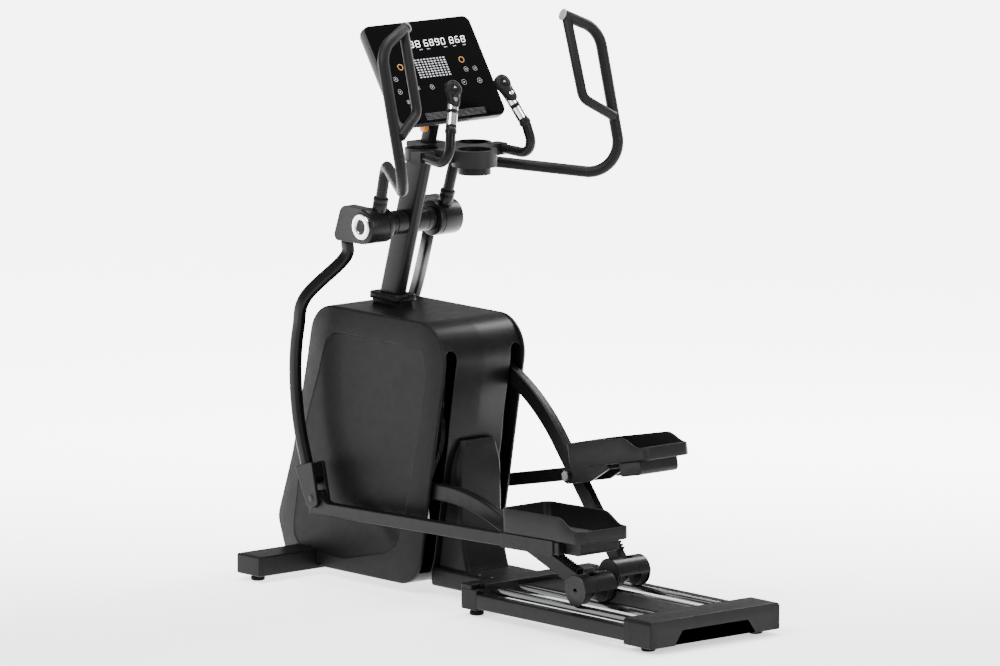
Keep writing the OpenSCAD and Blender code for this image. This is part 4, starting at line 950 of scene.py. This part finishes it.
for name, s in SIDES:
    pts = mirrored(BAR[:3], s) + [tuple(bar_point(s, 0.88))]
    sweep("bar_skin_" + name, bend_path(pts, [46, 60], 4), circle_section(15.4, 36), "frame", PAINT,
            end_round=1.0, stand_for="fixed_bars", slot="black_coat", smooth=50)
    for i, (a, b) in enumerate(((0.18, 0.46), (0.54, 0.82))):
        p, q = bar_point(s, a), bar_point(s, b)
        lathe("pulse_%s_%d" % (name, i), p, q - p, [(0, 15.6), (0.6, 17), ((q - p).length - 0.6, 17),
                ((q - p).length, 15.6)], "frame", PULSE, smooth=40, stand_for="pulse_contacts",
                slot="chrome")
        lathe("pulse_joint_%s_%d" % (name, i), p - (q - p).normalized() * 3.4, q - p,
                [(0, 16.4), (0.5, 16.9), (2.9, 16.9), (3.4, 16.4)], "frame", SLEEVE, smooth=40)
    p = bar_point(s, 0.02)
    d = bar_point(s, 1) - p
    lathe("bar_collar_" + name, p, d, [(0, 15.6), (0.8, 18), (3, 18.4), (9, 18.4), (11, 17.2), (14, 16.6),
            (16, 15.5)], "frame", PLASTIC, smooth=35, slot="black_plastic")
    p = bar_point(s, 0.82)
    lathe("bar_neck_" + name, p, d, [(0.4, 16), (2, 17.4), (9, 18.6), (14, 19.4)], "frame", PLASTIC,
            smooth=40)
    h = head(s)
    top = [(-8 + 25.5 * math.cos(math.radians(a)), s * 25.5 * math.sin(math.radians(a))) for a in range(112,
            309, 7)]
    low = [(38 + 17.2 * math.cos(math.radians(a)),
            s * (16 + 17.2 * math.sin(math.radians(a)))) for a in range(-58, 114, 9)]
    slab("head_pod_" + name, top + low, -13, 9.5, "frame", PLASTIC, h, bevel=6.5, segments=6, limit=50,
            stand_for="bar_heads", slot="head_plastic")
    o, e = Vector(h(-8, 0, -12)), Vector(h(-8, 0, 12)) - Vector(h(-8, 0, -12))
    lathe("head_skin_" + name, o, e, [(0, 17), (0.8, 20.5), (3, 24.2), (7, 26.6), (12, 27), (19, 27),
            (22, 26), (23.6, 24), (24, 21.6), (23.4, 19.6), (20.5, 18.9)], "frame", PLASTIC, smooth=40,
            sides=64, stand_for="bar_heads", slot="head_plastic")
    o = Vector(h(-8, 0, 8.5))
    lathe("key_skin_" + name, o, e, [(0, 18.2), (3.0, 18.2), (4.1, 17.2), (4.5, 15), (4.2, 8), (4.1, 0.4)],
            "key_" + name, HUB, smooth=35, sides=64, stand_for="key_" + name, slot="black_plastic")
    arrow = [h(-8 - x, y, 13.04) for x, y in ((5, 0), (-2.5, 5.5), (-1, 0), (-2.5, -5.5))]
    make("key_mark_" + name, arrow, [[0, 1, 2, 3]], "key_" + name, DIM)

tray = NODES["tray"]
tray.data.materials.clear()
tray.data.materials.append(TRAY)
mod = tray.modifiers.new("edge", "BEVEL")
mod.width = 1.6 * MM
mod.segments = 3
mod.limit_method = "ANGLE"
mod.angle_limit = math.radians(40)
mod.harden_normals = True

# ---------------------------------------------------------------- console

LEAN = math.radians(33.2)
CONSOLE = (-368.0, 1599.0)


def con(x, y, z):
    """Console frame: x out of the screen, y across, z up the screen."""
    return (CONSOLE[0] + x * math.cos(LEAN) - z * math.sin(LEAN), y,
            CONSOLE[1] + x * math.sin(LEAN) + z * math.cos(LEAN))


def face_outline(w, h, r, step=6.0):
    return rounded([(-w / 2, -h / 2, r), (-w / 2, h / 2, r), (w / 2, h / 2, r), (w / 2, -h / 2, r)], step)


def console_stack(name, levels, material, body="console", **kw):
    loops = []
    for x, inset_by in levels:
        loops.append([con(x, y, z) for y, z in face_outline(424 - 2 * inset_by, 342 - 2 * inset_by,
                26 - min(20, inset_by * 0.8))])
    return rings(name, loops, body, material, **kw)


console_stack("console_shell", [(-42, 22), (-40.5, 14), (-36, 6), (-28, 1.5), (-20, 0), (-5.4, 0),
        (-3.8, 0.5), (-3.2, 1.6)], BODY_GREY, smooth=34, stand_for="console_body", slot="console_grey")
console_stack("console_pane", [(-3.1, 1.4), (-1.2, 1.0), (-0.4, 1.6), (-0.1, 3.2), (0, 6)], GLASS,
        smooth=40, stand_for="console_glass", slot="console_glass")


def on_face(name, shapes, material, lift=0.05):
    """Flat marks on the screen, each a list of (y, z) corners."""
    verts, faces = [], []
    for shape in shapes:
        o = len(verts)
        verts += [con(lift, y, z) for y, z in shape]
        faces.append(list(range(o, o + len(shape))))
    me = make(name, verts, faces, "console", material)
    return me


SEGMENTS = {"0": "abcdef", "6": "acdefg", "8": "abcdefg", "9": "abcdfg"}


def digit(ch, y, z, w, h, t=1.9, lean=0.12):
    """Seven-segment figure with its lower left corner at (y, z)."""
    g = 0.5
    hor = lambda zz: [(g, zz), (t * 0.5, zz + t / 2), (w - t * 0.5, zz + t / 2), (w - g, zz),
            (w - t * 0.5, zz - t / 2), (t * 0.5, zz - t / 2)]
    ver = lambda yy, z0, z1: [(yy, z0 + g), (yy - t / 2, z0 + t * 0.6), (yy - t / 2, z1 - t * 0.6),
            (yy, z1 - g), (yy + t / 2, z1 - t * 0.6), (yy + t / 2, z0 + t * 0.6)]
    parts = {"a": hor(h), "g": hor(h / 2), "d": hor(0), "f": ver(0, h / 2, h), "b": ver(w, h / 2, h),
            "e": ver(0, 0, h / 2), "c": ver(w, 0, h / 2)}
    return [[(y + p[0] + p[1] * lean, z + p[1]) for p in parts[k]] for k in SEGMENTS[ch]]


figures = []
for text, y0, y1 in (("98", -62, -12), ("6890", -3, 88), ("868", 99, 169)):
    pitch = (y1 - y0) / len(text)
    for i, ch in enumerate(text):
        figures += digit(ch, y0 + i * pitch + 1.5, 83, pitch - 9.5, 20)
on_face("display_figures", figures, WHITE)


def hoop(y, z, r, t, n=28):
    a = [(y + r * math.cos(2 * math.pi * i / n), z + r * math.sin(2 * math.pi * i / n)) for i in range(n)]
    b = [(y + (r - t) * math.cos(2 * math.pi * i / n),
            z + (r - t) * math.sin(2 * math.pi * i / n)) for i in range(n)]
    return [[a[i], a[(i + 1) % n], b[(i + 1) % n], b[i]] for i in range(n)]


def bar_mark(y, z, w, h):
    return [(y - w / 2, z - h / 2), (y + w / 2, z - h / 2), (y + w / 2, z + h / 2), (y - w / 2, z + h / 2)]


labels = []
for y in (-21, 8, 77, 113, 152):
    for k in range(4):
        labels.append(bar_mark(y + k * 3.2 - 5, 73, 2.2, 2.6))
on_face("display_labels", labels, DIM)
dots = []
for i in range(10):
    for j in range(8):
        y, z = -63 + i * 12.8, -19 + j * 8.4
        dots.append(bar_mark(y, z, 7.4, 3.6))
on_face("display_dots", dots, DIM)
on_face("display_rings", hoop(118, 25, 10, 1.5) + hoop(-128, 23, 10, 1.5), AMBER)
white_rings = []
for y, z, r in ((121, -8, 8), (157, -9, 8), (94, -50, 9), (156, -51, 9), (-36, -54, 8), (-164, -15, 8),
        (-166, -58, 8), (-91, -53, 6), (-150, -94, 6)):
    white_rings += hoop(y, z, r, 0.7) + [bar_mark(y, z, r * 0.7, 1.3), bar_mark(y, z, 1.3, r * 0.7)]
on_face("display_keys", white_rings, DIM)
ledge = []
for j in range(6):
    for i in range(48):
        ledge.append(bar_mark(-104 + i * 4.95 + (2.4 if j % 2 else 0), -160 + j * 4.0, 2.6, 1.6))
on_face("display_ledge", ledge, FAINT)

for name, s in SIDES:
    c = (-56, -75)
    y0, y1 = span(s, 28, 38)
    out = [(c[0] + 13 * math.cos(math.pi / 2 + math.pi * i / 16),
            c[1] + 13 * math.sin(math.pi / 2 + math.pi * i / 16)) for i in range(17)]
    out += [(c[0] + 15, c[1] - 13), (c[0] + 15, c[1] + 13)]
    prism("tilt_lug_" + name, out, y0, y1, "console", BODY_GREY, con, bevel=1.2, stand_for="console_body",
            slot="console_grey")
    p = con(-56, 0, -75)
    pin = (p[0], p[2])
    y0, y1 = span(s, 17, 27)
    cheek = [(-402, 1441), (-358, 1441), (pin[0] + 12, pin[1] - 4)]
    cheek += [(pin[0] + 13 * math.cos(math.radians(-18 + a)),
            pin[1] + 13 * math.sin(math.radians(-18 + a))) for a in range(0, 181, 12)]
    cheek += [(pin[0] - 12, pin[1] + 4)]
    prism("bracket_cheek_" + name, cheek, y0, y1, "frame", PAINT, bevel=1.2, stand_for="console_bracket",
            slot="black_coat")
lathe("tilt_pin_skin", (pin[0], -40, pin[1]), (0, 1, 0), [(0, 7), (1, 7.9), (79, 7.9), (80, 7)], "frame",
        ZINC, smooth=40, stand_for="console_bracket", slot="zinc")
knob = []
for h, r in ((6, 12.5), (7.2, 14.4), (9, 15), (19, 15), (21, 14.2), (22, 12)):
    knob.append([(-380 + r * (1 + (0.035 if 7 < h < 21.5 else 0) * (math.cos(12 * a) - 1)) * math.cos(a),
            -20 - h, 1424 + r * (1 + (0.035
            if 7 < h < 21.5 else 0) * (math.cos(12 * a) - 1)) * math.sin(a))
            for a in [2 * math.pi * i / 96 for i in range(96)]])
rings("knob_skin", knob, "tilt_knob", ORANGE, smooth=40, stand_for="tilt_knob", slot="knob_orange")
lathe("knob_stem", (-380, -17.5, 1424), (0, -1, 0), [(0, 6), (9, 6)], "tilt_knob", ZINC, sides=24,
        stand_for="tilt_knob", slot="zinc")

# ---------------------------------------------------------------- parts that keep their frame shapes

INNER_FINISH = {"drive_frame": PAINT, "crank_set": STEEL, "drive_pulley": ALLOY, "drive_belt": BELT,
        "belt_idler": ALLOY, "flywheel": STEEL, "brake_unit": BRAKE, "control_board": BOARD,
        "power_inlet": PLASTIC, "fasteners": ZINC}
for node, finish in INNER_FINISH.items():
    ob = NODES[node]
    ob.data.materials.clear()
    ob.data.materials.append(finish)
    mod = ob.modifiers.new("edge", "BEVEL")
    mod.width = 0.5 * MM
    mod.segments = 2
    mod.limit_method = "ANGLE"
    mod.angle_limit = math.radians(50)

# ---------------------------------------------------------------- floor, light and camera

AZ, EL = math.radians(49.209), math.radians(9.2358)
floor_mesh = bpy.data.meshes.new("floor")
bm = bmesh.new()
bmesh.ops.create_grid(bm, x_segments=4, y_segments=4, size=60)
bm.to_mesh(floor_mesh)
bm.free()
floor = bpy.data.objects.new("floor", floor_mesh)
bpy.context.scene.collection.objects.link(floor)
pale = coated("floor_pale", (0.93, 0.93, 0.93), 0.7, grain=60, bump=0.02, spread=0.01, spec=0.1)
tree = pale.node_tree
where = tree.nodes.new("ShaderNodeTexCoord")
along = tree.nodes.new("ShaderNodeVectorMath")
along.operation = "DOT_PRODUCT"
along.inputs[1].default_value = (-math.sin(AZ), math.cos(AZ), 0)
glow = tree.nodes.new("ShaderNodeMapRange")
glow.interpolation_type = "SMOOTHSTEP"
glow.inputs["From Min"].default_value = -1.0
glow.inputs["From Max"].default_value = 3.2
glow.inputs["To Min"].default_value = 0.9
glow.inputs["To Max"].default_value = 6.0
tree.links.new(where.outputs["Object"], along.inputs[0])
tree.links.new(along.outputs["Value"], glow.inputs["Value"])
tree.links.new(glow.outputs["Result"], tree.nodes["Principled BSDF"].inputs["Emission Strength"])
tree.nodes["Principled BSDF"].inputs["Emission Color"].default_value = (1, 1, 1, 1)
floor_mesh.materials.append(pale)

world = bpy.data.worlds.new("studio")
bpy.context.scene.world = world
world.use_nodes = True
world.node_tree.nodes["Background"].inputs["Color"].default_value = (1, 1, 1, 1)
world.node_tree.nodes["Background"].inputs["Strength"].default_value = 0.42

BACK = Vector((math.sin(AZ) * math.cos(EL), -math.cos(AZ) * math.cos(EL), math.sin(EL)))
RIGHT = Vector((math.cos(AZ), math.sin(AZ), 0))
TARGET = Vector((-0.0639, 0, 0.82297))


def area(name, along, across, up, size, power):
    """Softbox placed along the view direction, across it and up, aimed at the machine."""
    data = bpy.data.lights.new(name, "AREA")
    data.shape = "RECTANGLE"
    data.size, data.size_y = size
    data.energy = power
    ob = bpy.data.objects.new(name, data)
    bpy.context.scene.collection.objects.link(ob)
    flat = Vector((BACK.x, BACK.y, 0)).normalized()
    ob.location = TARGET + flat * along + RIGHT * across + Vector((0, 0, up))
    ob.rotation_mode = "QUATERNION"
    ob.rotation_quaternion = (ob.location - TARGET).to_track_quat("Z", "Y")
    return ob


area("key_light", 2.5, -2.6, 3.4, (2.2, 2.2), 330)
area("fill_light", 2.8, 3.0, 1.6, (1.6, 2.6), 150)
area("top_light", -0.6, 0.2, 4.2, (3.0, 3.0), 330)
area("rim_light", -2.6, 2.4, 2.2, (1.2, 2.4), 190)

cam = bpy.data.cameras.new("camera")
cam.sensor_width = 36
cam.lens = 389.7
cam.clip_start, cam.clip_end = 0.5, 300
camera = bpy.data.objects.new("camera", cam)
bpy.context.scene.collection.objects.link(camera)
camera.location = TARGET + BACK * 32.963
camera.rotation_mode = "QUATERNION"
camera.rotation_quaternion = BACK.to_track_quat("Z", "Y")
bpy.context.scene.camera = camera
